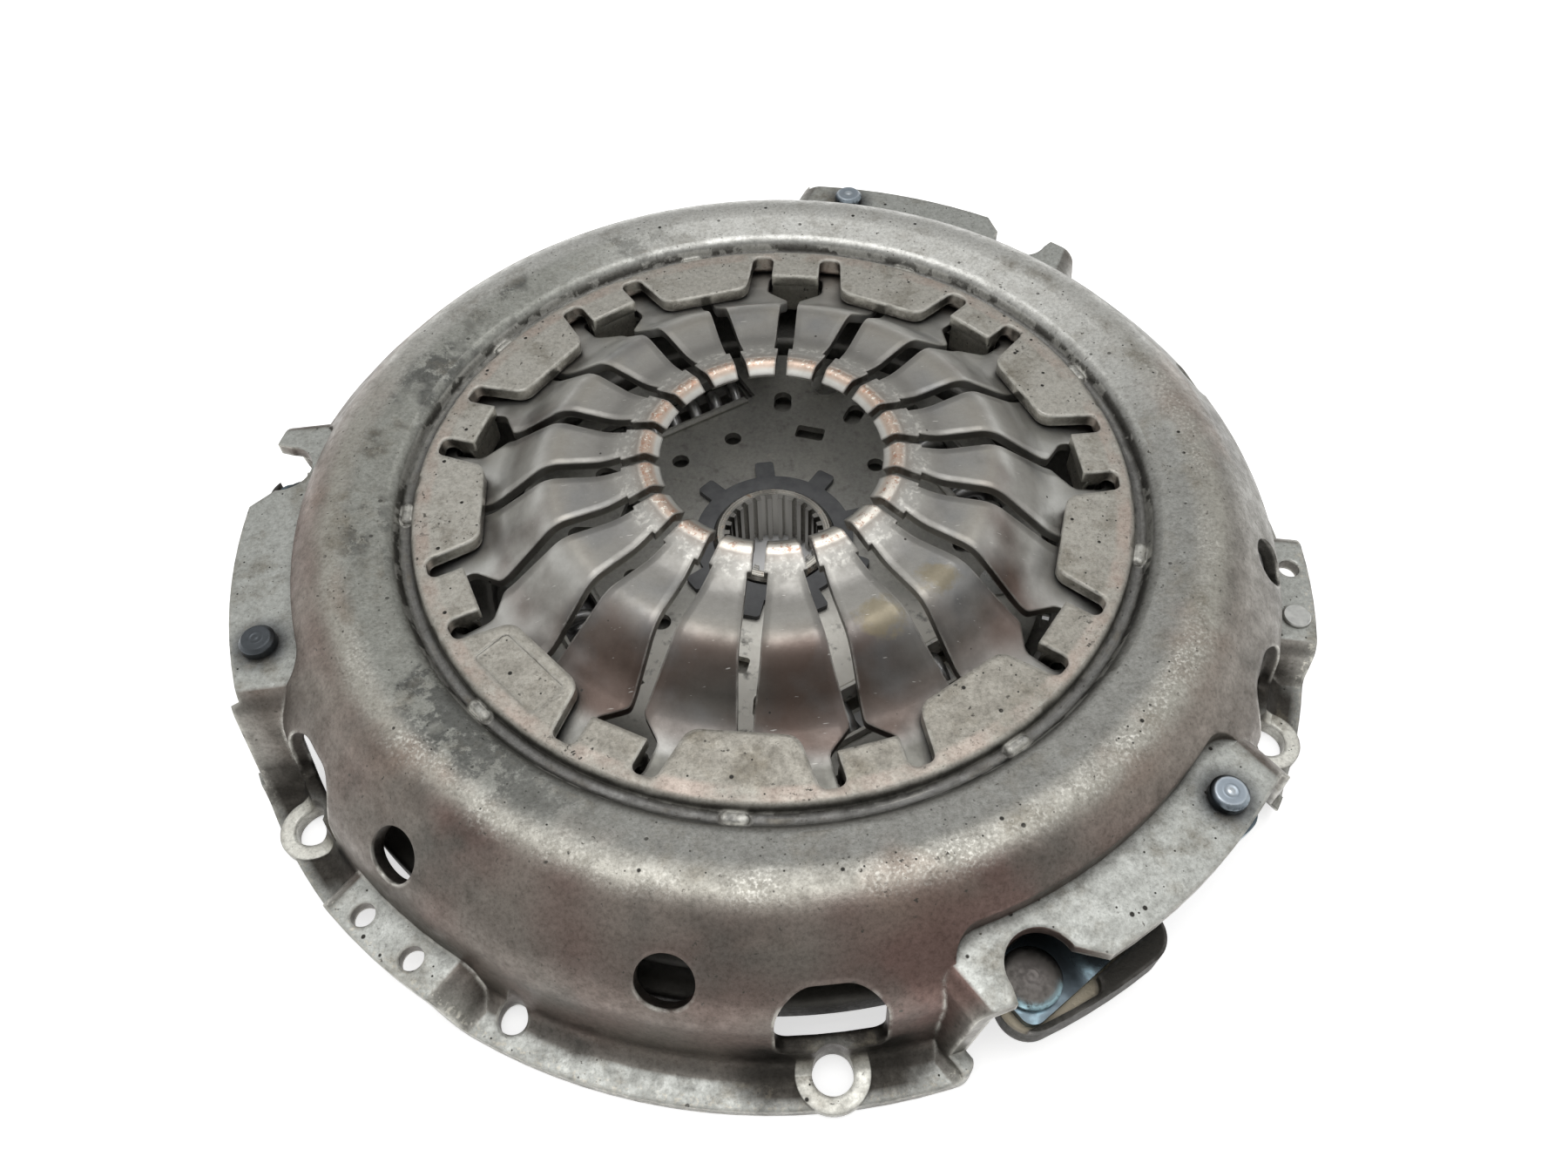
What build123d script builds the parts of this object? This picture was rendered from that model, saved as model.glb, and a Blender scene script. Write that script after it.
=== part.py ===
from build123d import *

import os
from math import asin, atan2, cos, degrees, hypot, pi, radians, sin, sqrt, tan

# Automotive clutch: pressed cover with its diaphragm spring and pressure plate, holding the
# driven disc. Millimetres, +Z towards the gearbox, Z = 0 on the flange face that meets the
# flywheel, origin on the axis. Angles are degrees counterclockwise seen from the gearbox side.

# ---------------------------------------------------------------- cover: sheet and flange
SHEET = 3.6                  # cover sheet thickness
FLANGE_R = 146.0             # outer radius of the flange
BOLT_CIRCLE_R = 139.0
BOLT_COUNT = 6
BOLT_HOLE_R = 4.6
BOLT_PAD_R = 8.3             # machined seat round each bolt hole
BOLT_PAD_H = 0.5
FIRST_BOLT = 30.0            # angle of the first bolt
SECTORS = 3                  # the cover repeats three times round the axis
SECTOR_ANGLE = 360.0 / SECTORS
DOWEL_ANGLE = 240.0
DOWEL_HOLE_R = 3.5

# ---------------------------------------------------------------- cover: dome, groove and crown
CROWN_Z = 41.4               # top of the flat crown ring
CROWN_R = 93.1               # crown ring outer edge
GROOVE_DEPTH = 3.4           # fulcrum groove between crown and dome
GROOVE_FLOOR = 2.8           # flat width of the groove floor
GROOVE_DRAFT = 0.4
DOME_LIP_Z = 42.2            # dome height beside the groove
SHOULDER = (115.6, 45.1)     # dome shoulder, before rounding (radius, height)
WAIST = (134.0, 27.1)        # foot of the sloping shoulder, before rounding
WALL_FOOT_R = 136.8          # wall radius at the flange
SHOULDER_ROUND = 16.0
WAIST_ROUND = 18.0
FOOT_ROUND = 5.0
CROWN_ROUND = 1.6
GROOVE_ROUND = 1.2
LIP_ROUND = 3.0

TAB_COUNT = 9
TAB_ANGLE = 360.0 / TAB_COUNT
TAB_EDGE_R = 75.2            # distance of the straight inner edge from the axis
TAB_EDGE_HALF = 12.3         # half width of a crown tab at its inner edge
TAB_ROOT_HALF = 18.8         # half width of a crown tab at its root
OPENING_R = 90.0             # outer ends of the crown slots
SLOT_END_ROUND = 2.2
LUG_HALF = 7.0               # half width of the lugs between the slots
LUG_FACE_R = 82.0            # inner face of the bent-down lugs
LUG_BEND = 7.0
LUG_HOOK_R = 91.0            # outer end of the hooked lug foot
LUG_SHEET = 3.2
NAME_PANEL_TAB = 220.0       # one tab carries a shallow bare panel
NAME_PANEL = (7.0, 22.0, 0.35)
GROOVE_BUMP = (6.5, 2.6, 1.5)    # length, width and height of the coined bumps

# ---------------------------------------------------------------- cover: strap pads and steps
PAD_TOP = 31.6               # upper face of the strap pads
PAD_FOLD_R = 124.0           # where a pad meets the dome
PAD_R = 140.8                # outer edge of a pad
PAD_START = 281.6
PAD_END = 323.4              # foot of the long ramp down to the flange
PAD_FOLD_END = 320.4         # end of the fold along the dome
PAD_RAMPS = (4.0, 11.0)      # length of the steep and of the long ramp
PAD_ROUNDS = (2.9, 4.7, 7.0, 6.0)   # bend radii: foot, top, top, foot
PAD_FLARE = (315.0, 325.0)   # the pad's edge runs out to the flange edge between these
FLANGE_GAP = (282.2, 319.8)  # the flange is cut away under a pad
NOTCH_ANGLE = 288.8          # keyhole that clears the plate-side rivet
NOTCH_R = 136.0
NOTCH_HOLE_R = 8.0
STEP_TOP = 14.6              # upper face of the raised flange steps
STEP_START = 218.7
STEP_END = 236.4
STEP_RAMPS = (3.0, 5.0)
STEP_ROUNDS = (2.9, 4.7, 4.7, 2.9)
BALANCE_ANGLES = (223.6, 230.2)
BALANCE_R = 141.0
BALANCE_HOLE_R = 2.8
BALANCE_RIVET_ANGLE = 343.6  # one balance hole carries a rivet
WALL_HOLE_SPREAD = 15.0      # round wall holes either side of the dowel
WALL_HOLE_R = 6.5
WALL_HOLE_AT = (129.6, 32.2)
ARCH_HALF = 12.0             # windows in the wall above the bolts
ARCH_FLOOR = 11.0
ARCH_TOP = 32.4
ARCH_ROUND = 9.0

# ---------------------------------------------------------------- diaphragm spring
SPRING_SHEET = 2.6
SPRING_R = 107.5             # outer edge
BELT_ANGLE = 10.0            # cone angle of the belt when free
BELT_FROM_R = 88.0           # outer end of the lug windows
FINGER_COUNT = 18
TIP_R = 28.4
TIP_Z = 50.9
CREST = (31.7, 53.2)
DIP = (43.5, 49.9)
HUMP = (57.3, 50.7)
ROOT_R = 73.2
NARROW_SLOT = 3.0            # slot width near the tips
WIDE_SLOT = 5.0              # slot width over the dip
ROOT_SLOT = 3.6              # slot width at the finger root
SLOT_STEP_R = 38.2
SLOT_TAPER_R = 60.0
WINDOW_HALF = 8.2
WINDOW_FROM_R = 72.0
BLIND_SLOT_R = 80.0

# ---------------------------------------------------------------- support ring under the spring
HOOK_TOP = 28.6              # upper face of the lug hooks
SUPPORT_SHEET = 1.8
SUPPORT_IN_R = 87.2
SUPPORT_BEAD_R = 93.8
SUPPORT_OUT_R = 96.6
GAP = 0.3                    # clearance between pieces of different bodies

# ---------------------------------------------------------------- pressure plate
FACING_R = 120.0             # outer radius of the friction facings
FACING_IN_R = 79.0
FACING_SHEET = 3.5
CUSHION_SHEET = 1.0
DISC_LIFT = 0.2              # flywheel-side facing above the flywheel plane
PLATE_R = 121.6
PLATE_IN_R = 78.0
PLATE_BODY = 10.0
RIDGE_R = 105.0              # fulcrum ridge that the spring presses on
RIDGE_WIDTH = 5.0
RIDGE_GAPS = 9
EAR_START = 285.2
EAR_END = 302.6
EAR_R = 145.0
EAR_DEPTH = 8.6
EAR_ROUND = 7.0
EAR_SEAT_DEPTH = 3.0         # machined seat for the strap in each ear
EAR_SEAT_ROUND = 3.0
EAR_SEAT_START = 284.0       # the seat is open on this side
EAR_SEAT_END = 294.4
EAR_RIM = 1.2                # rim left outside the seat

# ---------------------------------------------------------------- drive straps
STRAP_LEAVES = 3
STRAP_SHEET = 0.8
STRAP_WIDTH = 15.8
STRAP_PLATE_END = 7.2        # strap beyond the plate-side rivet
STRAP_COVER_END = 6.6        # and beyond the cover-side rivet
STRAP_SLACK = 0.05           # between two leaves of a pack
STRAP_FLAT = 9.5             # flat seat either side of each rivet
STRAP_BEND = 14.0
STRAP_PLATE_ROUND = 3.2      # corner radii at the plate end
STRAP_COVER_ROUND = 6.2      # and at the cover end
COVER_RIVET_ANGLE = 314.0
COVER_RIVET_R = 133.6
PLATE_RIVET_ANGLE = 288.9
PLATE_RIVET_R = 134.6
COVER_RIVET_HEAD = (4.4, 3.2)    # radius and height
COVER_RIVET_TAIL = (5.2, 1.8)
PLATE_RIVET_HEAD = (6.8, 2.0)
PLATE_RIVET_TAIL = (5.0, 0.8)
BALANCE_RIVET_HEAD = (3.6, 0.9)
RIVET_SHANK_R = 3.6
RIVET_HOLE_GAP = 0.05

# ---------------------------------------------------------------- driven disc
DISC_PHASE = 70.0            # angle of the first stop pin
COILS = 4                    # damper springs, halfway between the stop pins
HUB_R = 16.6
HUB_TOP = 18.9
HUB_BOTTOM = 0.8
COLLAR_R = 20.5
COLLAR_BOTTOM = 4.5
COLLAR_TOP = 12.6
HUB_TOOTH_R = 23.0
HUB_TOOTH_WIDTH = 5.6
HUB_TEETH = 12
SPLINE_COUNT = 26
SPLINE_MINOR_R = 12.2
SPLINE_MAJOR_R = 13.7
SPLINE_WIDTH = 1.7
RETAINER_SHEET = 2.2
RETAINER_TOP = 15.6          # front retainer, gearbox side
RETAINER_R = 74.5
REAR_RETAINER_R = 76.5
RETAINER_BORE_R = 18.6
OBLONG = (8.5, 5.3, 49.5, 12.0)  # slots: length, width, inner end, angle from the stop pins
VENT = (5.0, 8.5, 42.0)      # rectangular windows: radial, tangential, distance
ROUND_VENT = (2.5, 40.5, 32.5)   # round holes: radius, distance, angle from the stop pins
LIP = 1.6                    # raised lips beside the spring windows
HUB_PLATE_SHEET = 4.0        # hub flange
HUB_PLATE_R = 70.0
COIL_AT_R = 57.6
COIL_R = 7.2
COIL_WIRE_R = 1.8
COIL_LENGTH = 46.0
COIL_TURNS = 6
WINDOW_SLACK = 0.4           # room round the coils in every window
STOP_PIN_AT_R = 62.0
STOP_PIN_R = 3.6
STOP_PIN_NECK_R = 2.6
STOP_PIN_HEAD = (4.4, 1.0)
STOP_TRAVEL = 10.0           # hub turns this far before it meets the pins
STOP_SLACK = 0.5
SEGMENTS = 12                # cushion segments
SEGMENT_R = 118.5
SEGMENT_HALF = 14.3          # half angle of a segment's paddle
NECK_IN_R = 70.2
NECK_HALF = 8.0
SEGMENT_RIVET_R = 73.2
SEGMENT_RIVET_SPREAD = 4.0
SEGMENT_RIVET_SHANK_R = 1.7
SEGMENT_RIVET_HEAD = (2.9, 1.0)
FACING_ROWS = (88.0, 110.0)
FACING_RIVET_R = 1.9
FACING_RIVET_HEAD = (3.4, 1.0)
FACING_RIVET_TAIL = (2.8, 1.0)
FACING_SEAT_R = 3.8          # sunk seats for the rivet heads
FACING_SEAT_DEPTH = 2.0
FACING_GROOVES = 18
FACING_GROOVE = (1.6, 0.9)
TAB_RING_IN_R = 17.0
TAB_RING_R = 22.0
TAB_RING_TAB_R = 27.6
TAB_RING_TABS = 9
TAB_RING_TAB_W = 5.4
TAB_RING_SHEET = 1.7
TAB_RING_AT = 91.0
BUSH_R = 18.55
WASHER_IN_R = 23.4
WASHER_R = 33.0
WASHER_SHEET = 1.5
CONE_SHEET = 0.8
FIT = 0.05                   # sliding clearance between pieces of the disc

os.makedirs("parts", exist_ok=True)


# ---------------------------------------------------------------- helpers
def polar(radius, angle, height=0.0):
    """Point at a radius, an angle and a height."""
    return Vector(radius * cos(radians(angle)), radius * sin(radians(angle)), height)


def offset_path(points, distance):
    """Corner points of an open path moved to its right by a distance."""
    lines = []
    for (x0, y0), (x1, y1) in zip(points, points[1:]):
        length = hypot(x1 - x0, y1 - y0)
        nx, ny = (y1 - y0) / length, (x0 - x1) / length
        lines.append((x0 + nx * distance, y0 + ny * distance, (x1 - x0) / length, (y1 - y0) / length))
    moved = [lines[0][:2]]
    for (ax, ay, ux, uy), (bx, by, vx, vy) in zip(lines, lines[1:]):
        step = ((bx - ax) * vy - (by - ay) * vx) / (ux * vy - uy * vx)
        moved.append((ax + ux * step, ay + uy * step))
    x, y, ux, uy = lines[-1]
    (x0, y0), (x1, y1) = points[-2:]
    run = hypot(x1 - x0, y1 - y0)
    moved.append((x + ux * run, y + uy * run))
    return moved


def corner_turns(points):
    """+1 where the path turns left at a corner, -1 where it turns right."""
    turns = []
    for (x0, y0), (x1, y1), (x2, y2) in zip(points, points[1:], points[2:]):
        cross = (x1 - x0) * (y2 - y1) - (y1 - y0) * (x2 - x1)
        turns.append(1 if cross > 0 else -1)
    return turns


def fit_radii(points, radii):
    """Bend radii, each reduced where the straight runs beside it are too short."""
    runs = [hypot(x1 - x0, y1 - y0) for (x0, y0), (x1, y1) in zip(points, points[1:])]
    slopes = [atan2(y1 - y0, x1 - x0) for (x0, y0), (x1, y1) in zip(points, points[1:])]
    halves = [abs((b - a + pi) % (2 * pi) - pi) / 2 for a, b in zip(slopes, slopes[1:])]
    needs = [0] + [radius * tan(half) for radius, half in zip(radii, halves)] + [0]
    shares = [min(1, 0.98 * run / max(a + b, 0.001)) for run, a, b in zip(runs, needs, needs[1:])]
    return [radius * min(a, b) for radius, a, b in zip(radii, shares, shares[1:])]


def lower_path(points, radii, sheet):
    """Corner points and bend radii of the lower side of a sheet, from its upper side."""
    lower = offset_path(points, sheet)
    turned = [max(radius + turn * sheet, 0.4) for radius, turn in zip(radii, corner_turns(points))]
    return lower, fit_radii(lower, turned)


def sheet_section(points, radii, sheet):
    """Closed section of a pressed sheet, from its upper path."""
    lower, lower_radii = lower_path(points, radii, sheet)
    with BuildSketch() as section:
        with BuildLine():
            FilletPolyline(*points, radius=fit_radii(points, radii))
            FilletPolyline(*lower, radius=lower_radii)
            Line(points[0], lower[0])
            Line(points[-1], lower[-1])
        make_face()
    return section.sketch


def filled_section(points, radii):
    """Closed section between the axis, a plane below the cover and a path."""
    (first_r, first_z), (last_r, last_z) = points[0], points[-1]
    with BuildSketch() as section:
        with BuildLine():
            FilletPolyline(*points, radius=radii)
            Polyline((last_r, last_z), (last_r, -SHEET), (0, -SHEET), (0, first_z), (first_r, first_z))
        make_face()
    return section.sketch


def annular_sector(inner, outer, start, end):
    """Sector of an annulus."""
    middle = (start + end) / 2
    with BuildSketch() as sector:
        with BuildLine():
            ThreePointArc(polar(outer, start), polar(outer, middle), polar(outer, end))
            ThreePointArc(polar(inner, start), polar(inner, middle), polar(inner, end))
            Line(polar(inner, start), polar(outer, start))
            Line(polar(inner, end), polar(outer, end))
        make_face()
    return sector.sketch


def write(part, name):
    """Label a finished piece and write its STEP file."""
    part.label = name
    export_step(part, f"parts/{name}.step")


def tangent_plane(radius, angle, height=0.0):
    """Plane facing outwards at a radius and an angle: X along the rim, Y up."""
    x_dir = Vector(-sin(radians(angle)), cos(radians(angle)), 0)
    return Plane(origin=polar(radius, angle, height), x_dir=x_dir, z_dir=polar(1, angle))


# ---------------------------------------------------------------- cover
GROOVE_Z = CROWN_Z - GROOVE_DEPTH
GROOVE_IN = CROWN_R + GROOVE_DRAFT
GROOVE_OUT = GROOVE_IN + GROOVE_FLOOR
DOME_PATH = [
    (TAB_EDGE_R - 8, CROWN_Z), (CROWN_R, CROWN_Z), (GROOVE_IN, GROOVE_Z), (GROOVE_OUT, GROOVE_Z),
    (GROOVE_OUT + 1.8, DOME_LIP_Z), SHOULDER, WAIST, (WALL_FOOT_R, SHEET), (FLANGE_R + 4, SHEET),
]
DOME_RADII = [CROWN_ROUND, GROOVE_ROUND, GROOVE_ROUND, LIP_ROUND, SHOULDER_ROUND, WAIST_ROUND, FOOT_ROUND]
TALL = SHOULDER[1] + 20


def step_path(start, end, top, ramps, radius):
    """Upper path, along the rim, of a flange stretch raised between two angles."""
    middle = (start + end) / 2
    left, right = (radius * tan(radians(angle - middle)) for angle in (start, end))
    run = 2.5 * SHEET
    return middle, [
        (left - run, SHEET), (left, SHEET), (left + ramps[0], top),
        (right - ramps[1], top), (right, SHEET), (right + run, SHEET),
    ]


def step_solid(start, end, top, ramps, rounds, radius, lower):
    """Solid under a raised stretch of the flange, for the upper or the lower side of the sheet."""
    middle, path = step_path(start, end, top, ramps, radius)
    path, rounds = lower_path(path, rounds, SHEET) if lower else (path, fit_radii(path, rounds))
    (first_x, _), (last_x, _) = path[0], path[-1]
    with BuildPart() as step:
        with BuildSketch(tangent_plane(PAD_FOLD_R - 14, middle)):
            with BuildLine():
                FilletPolyline(*path, radius=rounds)
                Polyline(path[0], (first_x, -SHEET), (last_x, -SHEET), path[-1])
            make_face()
        extrude(amount=FLANGE_R - PAD_FOLD_R + 30)
    return step.part


def pocket_solid(start, end, fold, floor):
    """Room above a strap pad, where the dome is pressed back to the fold."""
    with BuildPart() as pocket:
        with BuildSketch(Plane.XY.offset(floor)) as room:
            add(annular_sector(fold, FLANGE_R + 20, start, end))
            fillet(room.vertices().sort_by_distance((0, 0))[:2], radius=2 * SHEET)
        extrude(amount=TALL)
    return pocket.part


PAD = (PAD_START, PAD_END, PAD_TOP, PAD_RAMPS, PAD_ROUNDS, PAD_R)
STEP = (STEP_START, STEP_END, STEP_TOP, STEP_RAMPS, STEP_ROUNDS, FLANGE_R)
SHEET_ANGLE = degrees(SHEET / PAD_FOLD_R)


def cover_side(points, radii, lower):
    """Solid under the upper or the lower side of the whole cover sheet."""
    fold = PAD_FOLD_R - SHEET * lower
    room = pocket_solid(PAD_START - SHEET_ANGLE * lower, PAD_FOLD_END + SHEET_ANGLE * lower,
                        fold, PAD_TOP - SHEET * lower)
    pad = step_solid(*PAD, lower)
    raised = step_solid(*STEP, lower)
    with BuildPart() as side:
        with BuildSketch(Plane.XZ):
            add(filled_section(points, radii))
        revolve(axis=Axis.Z)
        with PolarLocations(0, SECTORS):
            add(room, mode=Mode.SUBTRACT)
        with PolarLocations(0, SECTORS):
            add(pad)
        with PolarLocations(0, SECTORS):
            add(raised)
    return side.part


def crown_lug():
    """Lug bent down from the crown ring through the spring, with a foot hooked outwards."""
    foot = HOOK_TOP - LUG_SHEET
    path = [(LUG_HOOK_R, foot), (LUG_FACE_R, foot), (LUG_FACE_R, CROWN_Z), (OPENING_R + 2, CROWN_Z)]
    with BuildPart() as lug:
        with BuildSketch(Plane.XZ):
            add(sheet_section(path, [LUG_SHEET * 1.4, LUG_BEND], LUG_SHEET))
        extrude(amount=LUG_HALF, both=True)
    return lug.part


upper_side = cover_side(DOME_PATH, fit_radii(DOME_PATH, DOME_RADII), False)
lower_side = cover_side(*lower_path(DOME_PATH, DOME_RADII, SHEET), True)
lug_part = crown_lug()

with BuildSketch() as pad_trim:
    add(annular_sector(PAD_R, FLANGE_R + 40, PAD_START - 3, PAD_FLARE[0]))
    with BuildLine():
        Polyline(polar(PAD_R, PAD_FLARE[0] - 1), polar(FLANGE_R, PAD_FLARE[1]),
                 polar(FLANGE_R + 60, PAD_FLARE[1]), polar(FLANGE_R + 30, PAD_FLARE[0] - 1), close=True)
    make_face()

with BuildSketch() as flange_outline:
    Circle(FLANGE_R)
    with PolarLocations(0, SECTORS):
        add(annular_sector(PAD_R, FLANGE_R + 10, *FLANGE_GAP), mode=Mode.SUBTRACT)
    fillet(flange_outline.vertices().filter_by(lambda v: Vector(*v).length > FLANGE_R - 1), SHEET)

with BuildSketch() as keyhole:
    with Locations(polar(NOTCH_R, NOTCH_ANGLE)):
        Circle(NOTCH_HOLE_R)
    with BuildLine():
        Polyline(polar(NOTCH_R - 1.5, NOTCH_ANGLE - 3.2), polar(FLANGE_R + 4, NOTCH_ANGLE - 3.9),
                 polar(FLANGE_R + 4, NOTCH_ANGLE + 9.4), polar(NOTCH_R - 1.5, NOTCH_ANGLE + 2.9),
                 close=True)
    make_face()

with BuildSketch() as tab_outline:
    with BuildLine():
        Polyline((TAB_EDGE_R, -TAB_EDGE_HALF), (OPENING_R, -TAB_ROOT_HALF),
                 (OPENING_R + 9, -TAB_ROOT_HALF), (OPENING_R + 9, TAB_ROOT_HALF),
                 (OPENING_R, TAB_ROOT_HALF), (TAB_EDGE_R, TAB_EDGE_HALF), close=True)
    make_face()

with BuildPart() as wall_hole:
    with BuildSketch(Plane(origin=(WALL_HOLE_AT[0], 0, WALL_HOLE_AT[1]), x_dir=(0, 1, 0), z_dir=(1, 0, 1))):
        Circle(WALL_HOLE_R)
    extrude(amount=3 * SHEET, both=True)

with BuildPart() as bolt_arch:
    with BuildSketch(tangent_plane(PAD_FOLD_R - SHEET, 0, (ARCH_FLOOR + ARCH_TOP) / 2)) as arch:
        Rectangle(2 * ARCH_HALF, ARCH_TOP - ARCH_FLOOR)
        fillet(arch.vertices().group_by(Axis.Y)[-1], ARCH_ROUND)
        fillet(arch.vertices().group_by(Axis.Y)[0], SHEET * 0.8)
    extrude(amount=FLANGE_R - PAD_FOLD_R + 2 * SHEET)

with BuildPart() as groove_bump:
    with BuildSketch(Plane.XY.offset(GROOVE_Z - 0.5)):
        SlotOverall(GROOVE_BUMP[0], GROOVE_BUMP[1], rotation=90)
    extrude(amount=GROOVE_BUMP[2] + 0.5)
    fillet(groove_bump.edges().group_by(Axis.Z)[-1], GROOVE_BUMP[1] * 0.3)

with BuildPart() as cover:
    add(upper_side)
    add(lower_side, mode=Mode.SUBTRACT)
    # trim to the flange outline and to the flange face
    with BuildSketch():
        Circle(FLANGE_R + 40)
        add(flange_outline.sketch, mode=Mode.SUBTRACT)
    extrude(amount=TALL, mode=Mode.SUBTRACT)
    with BuildSketch():
        Circle(FLANGE_R + 40)
    extrude(amount=-3 * SHEET, mode=Mode.SUBTRACT)
    # pad outline and the keyhole that clears the plate-side rivet
    with BuildSketch(Plane.XY.offset(2 * SHEET)):
        with PolarLocations(0, SECTORS):
            add(pad_trim.sketch)
    extrude(amount=TALL, mode=Mode.SUBTRACT)
    with BuildSketch():
        with PolarLocations(0, SECTORS):
            add(keyhole.sketch)
    extrude(amount=TALL, mode=Mode.SUBTRACT)
    # crown opening, leaving the tabs and the roots of the lugs
    with BuildSketch(Plane.XY.offset(CROWN_Z - SHEET - 1)) as opening:
        Circle(OPENING_R)
        with PolarLocations(0, TAB_COUNT, start_angle=TAB_ANGLE / 2):
            add(tab_outline.sketch, mode=Mode.SUBTRACT)
        with PolarLocations(0, TAB_COUNT):
            with Locations((OPENING_R, 0)):
                Rectangle(18, 2 * LUG_HALF, mode=Mode.SUBTRACT)
        fillet(opening.vertices().filter_by(lambda v: Vector(*v).length > OPENING_R - 3), SLOT_END_ROUND)
        fillet(opening.vertices().filter_by(lambda v: Vector(*v).length < TAB_EDGE_R + 2), 2 * SLOT_END_ROUND)
    extrude(amount=SHEET + 2, mode=Mode.SUBTRACT)
    with PolarLocations(0, TAB_COUNT):
        add(lug_part)

    # windows and round holes through the wall
    with PolarLocations(0, BOLT_COUNT, start_angle=FIRST_BOLT):
        add(bolt_arch.part, mode=Mode.SUBTRACT)
    for side in (-1, 1):
        with PolarLocations(0, SECTORS, start_angle=DOWEL_ANGLE + side * WALL_HOLE_SPREAD):
            add(wall_hole.part, mode=Mode.SUBTRACT)
    # bolt seats, then every hole through the flange, the steps and the pads
    with BuildSketch(Plane.XY.offset(SHEET / 2)):
        with PolarLocations(BOLT_CIRCLE_R, BOLT_COUNT, start_angle=FIRST_BOLT):
            Circle(BOLT_PAD_R)
    extrude(amount=SHEET / 2 + BOLT_PAD_H)
    with BuildSketch(Plane.XY.offset(-1)):
        with PolarLocations(BOLT_CIRCLE_R, BOLT_COUNT, start_angle=FIRST_BOLT):
            Circle(BOLT_HOLE_R)
        with PolarLocations(BOLT_CIRCLE_R, SECTORS, start_angle=DOWEL_ANGLE):
            Circle(DOWEL_HOLE_R)
        for angle in BALANCE_ANGLES:
            with PolarLocations(BALANCE_R, SECTORS, start_angle=angle):
                Circle(BALANCE_HOLE_R)
        with PolarLocations(COVER_RIVET_R, SECTORS, start_angle=COVER_RIVET_ANGLE):
            Circle(RIVET_SHANK_R + RIVET_HOLE_GAP)
    extrude(amount=PAD_TOP + 2, mode=Mode.SUBTRACT)
    # coined bumps in the groove, one behind each tab
    with PolarLocations((GROOVE_IN + GROOVE_OUT) / 2, TAB_COUNT, start_angle=TAB_ANGLE / 2):
        add(groove_bump.part)
    # shallow bare panel on one tab
    with BuildSketch(Plane.XY.offset(CROWN_Z)):
        with PolarLocations(OPENING_R - NAME_PANEL[0], 1, start_angle=NAME_PANEL_TAB):
            RectangleRounded(NAME_PANEL[0] * 1.4, NAME_PANEL[1], 1.5)
    extrude(amount=-NAME_PANEL[2], mode=Mode.SUBTRACT)

write(cover.part, "cover")

# ---------------------------------------------------------------- diaphragm spring
FULCRUM_Z = CROWN_Z - GROOVE_DEPTH - SHEET - GAP / 2     # spring top under the groove
FULCRUM_R = GROOVE_IN
BELT_SLOPE = tan(radians(BELT_ANGLE))


def belt_z(radius):
    """Height of the upper face of the spring's conical belt."""
    return FULCRUM_Z - (radius - FULCRUM_R) * BELT_SLOPE


FINGER_PATH = [(TIP_R, TIP_Z), CREST, DIP, HUMP, (ROOT_R, belt_z(ROOT_R)), (SPRING_R, belt_z(SPRING_R))]
FINGER_RADII = [2.4, 15.0, 9.0, 12.0]
SPRING_Z = TIP_Z + 20

with BuildSketch() as finger_slot:
    with BuildLine():
        Polyline((TIP_R - 9, -NARROW_SLOT / 2), (SLOT_STEP_R, -NARROW_SLOT / 2),
                 (SLOT_STEP_R, -WIDE_SLOT / 2), (SLOT_TAPER_R, -WIDE_SLOT / 2),
                 (WINDOW_FROM_R, -ROOT_SLOT / 2), (WINDOW_FROM_R, ROOT_SLOT / 2),
                 (SLOT_TAPER_R, WIDE_SLOT / 2), (SLOT_STEP_R, WIDE_SLOT / 2),
                 (SLOT_STEP_R, NARROW_SLOT / 2), (TIP_R - 9, NARROW_SLOT / 2), close=True)
    make_face()

with BuildSketch() as lug_window:
    with BuildLine():
        FilletPolyline((WINDOW_FROM_R - 1, -ROOT_SLOT / 2), (WINDOW_FROM_R + 2, -ROOT_SLOT / 2),
                       (LUG_FACE_R - 3, -WINDOW_HALF), (BELT_FROM_R, -WINDOW_HALF),
                       (BELT_FROM_R, WINDOW_HALF), (LUG_FACE_R - 3, WINDOW_HALF),
                       (WINDOW_FROM_R + 2, ROOT_SLOT / 2), (WINDOW_FROM_R - 1, ROOT_SLOT / 2),
                       radius=[2, 3, 2.5, 2.5, 3, 2])
        Line((WINDOW_FROM_R - 1, -ROOT_SLOT / 2), (WINDOW_FROM_R - 1, ROOT_SLOT / 2))
    make_face()

with BuildPart() as diaphragm_spring:
    with BuildSketch(Plane.XZ):
        add(sheet_section(FINGER_PATH, FINGER_RADII, SPRING_SHEET))
    revolve(axis=Axis.Z)
    with BuildSketch():
        with PolarLocations(0, FINGER_COUNT):
            add(finger_slot.sketch)
        with PolarLocations(0, TAB_COUNT):
            add(lug_window.sketch)
        with PolarLocations((WINDOW_FROM_R + BLIND_SLOT_R) / 2, TAB_COUNT, start_angle=TAB_ANGLE / 2):
            SlotOverall(BLIND_SLOT_R - WINDOW_FROM_R + 2 * ROOT_SLOT, ROOT_SLOT)
    extrude(amount=SPRING_Z, mode=Mode.SUBTRACT)

write(diaphragm_spring.part, "diaphragm_spring")

# ---------------------------------------------------------------- support ring
SPRING_UNDER = SPRING_SHEET / cos(radians(BELT_ANGLE))
SUPPORT_PATH = [
    (SUPPORT_IN_R, HOOK_TOP + SUPPORT_SHEET), (BELT_FROM_R + 2, HOOK_TOP + SUPPORT_SHEET),
    (SUPPORT_BEAD_R, belt_z(SUPPORT_BEAD_R) - SPRING_UNDER),
    (SUPPORT_OUT_R, belt_z(SUPPORT_OUT_R) - SPRING_UNDER - 2 * GAP),
]

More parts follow.
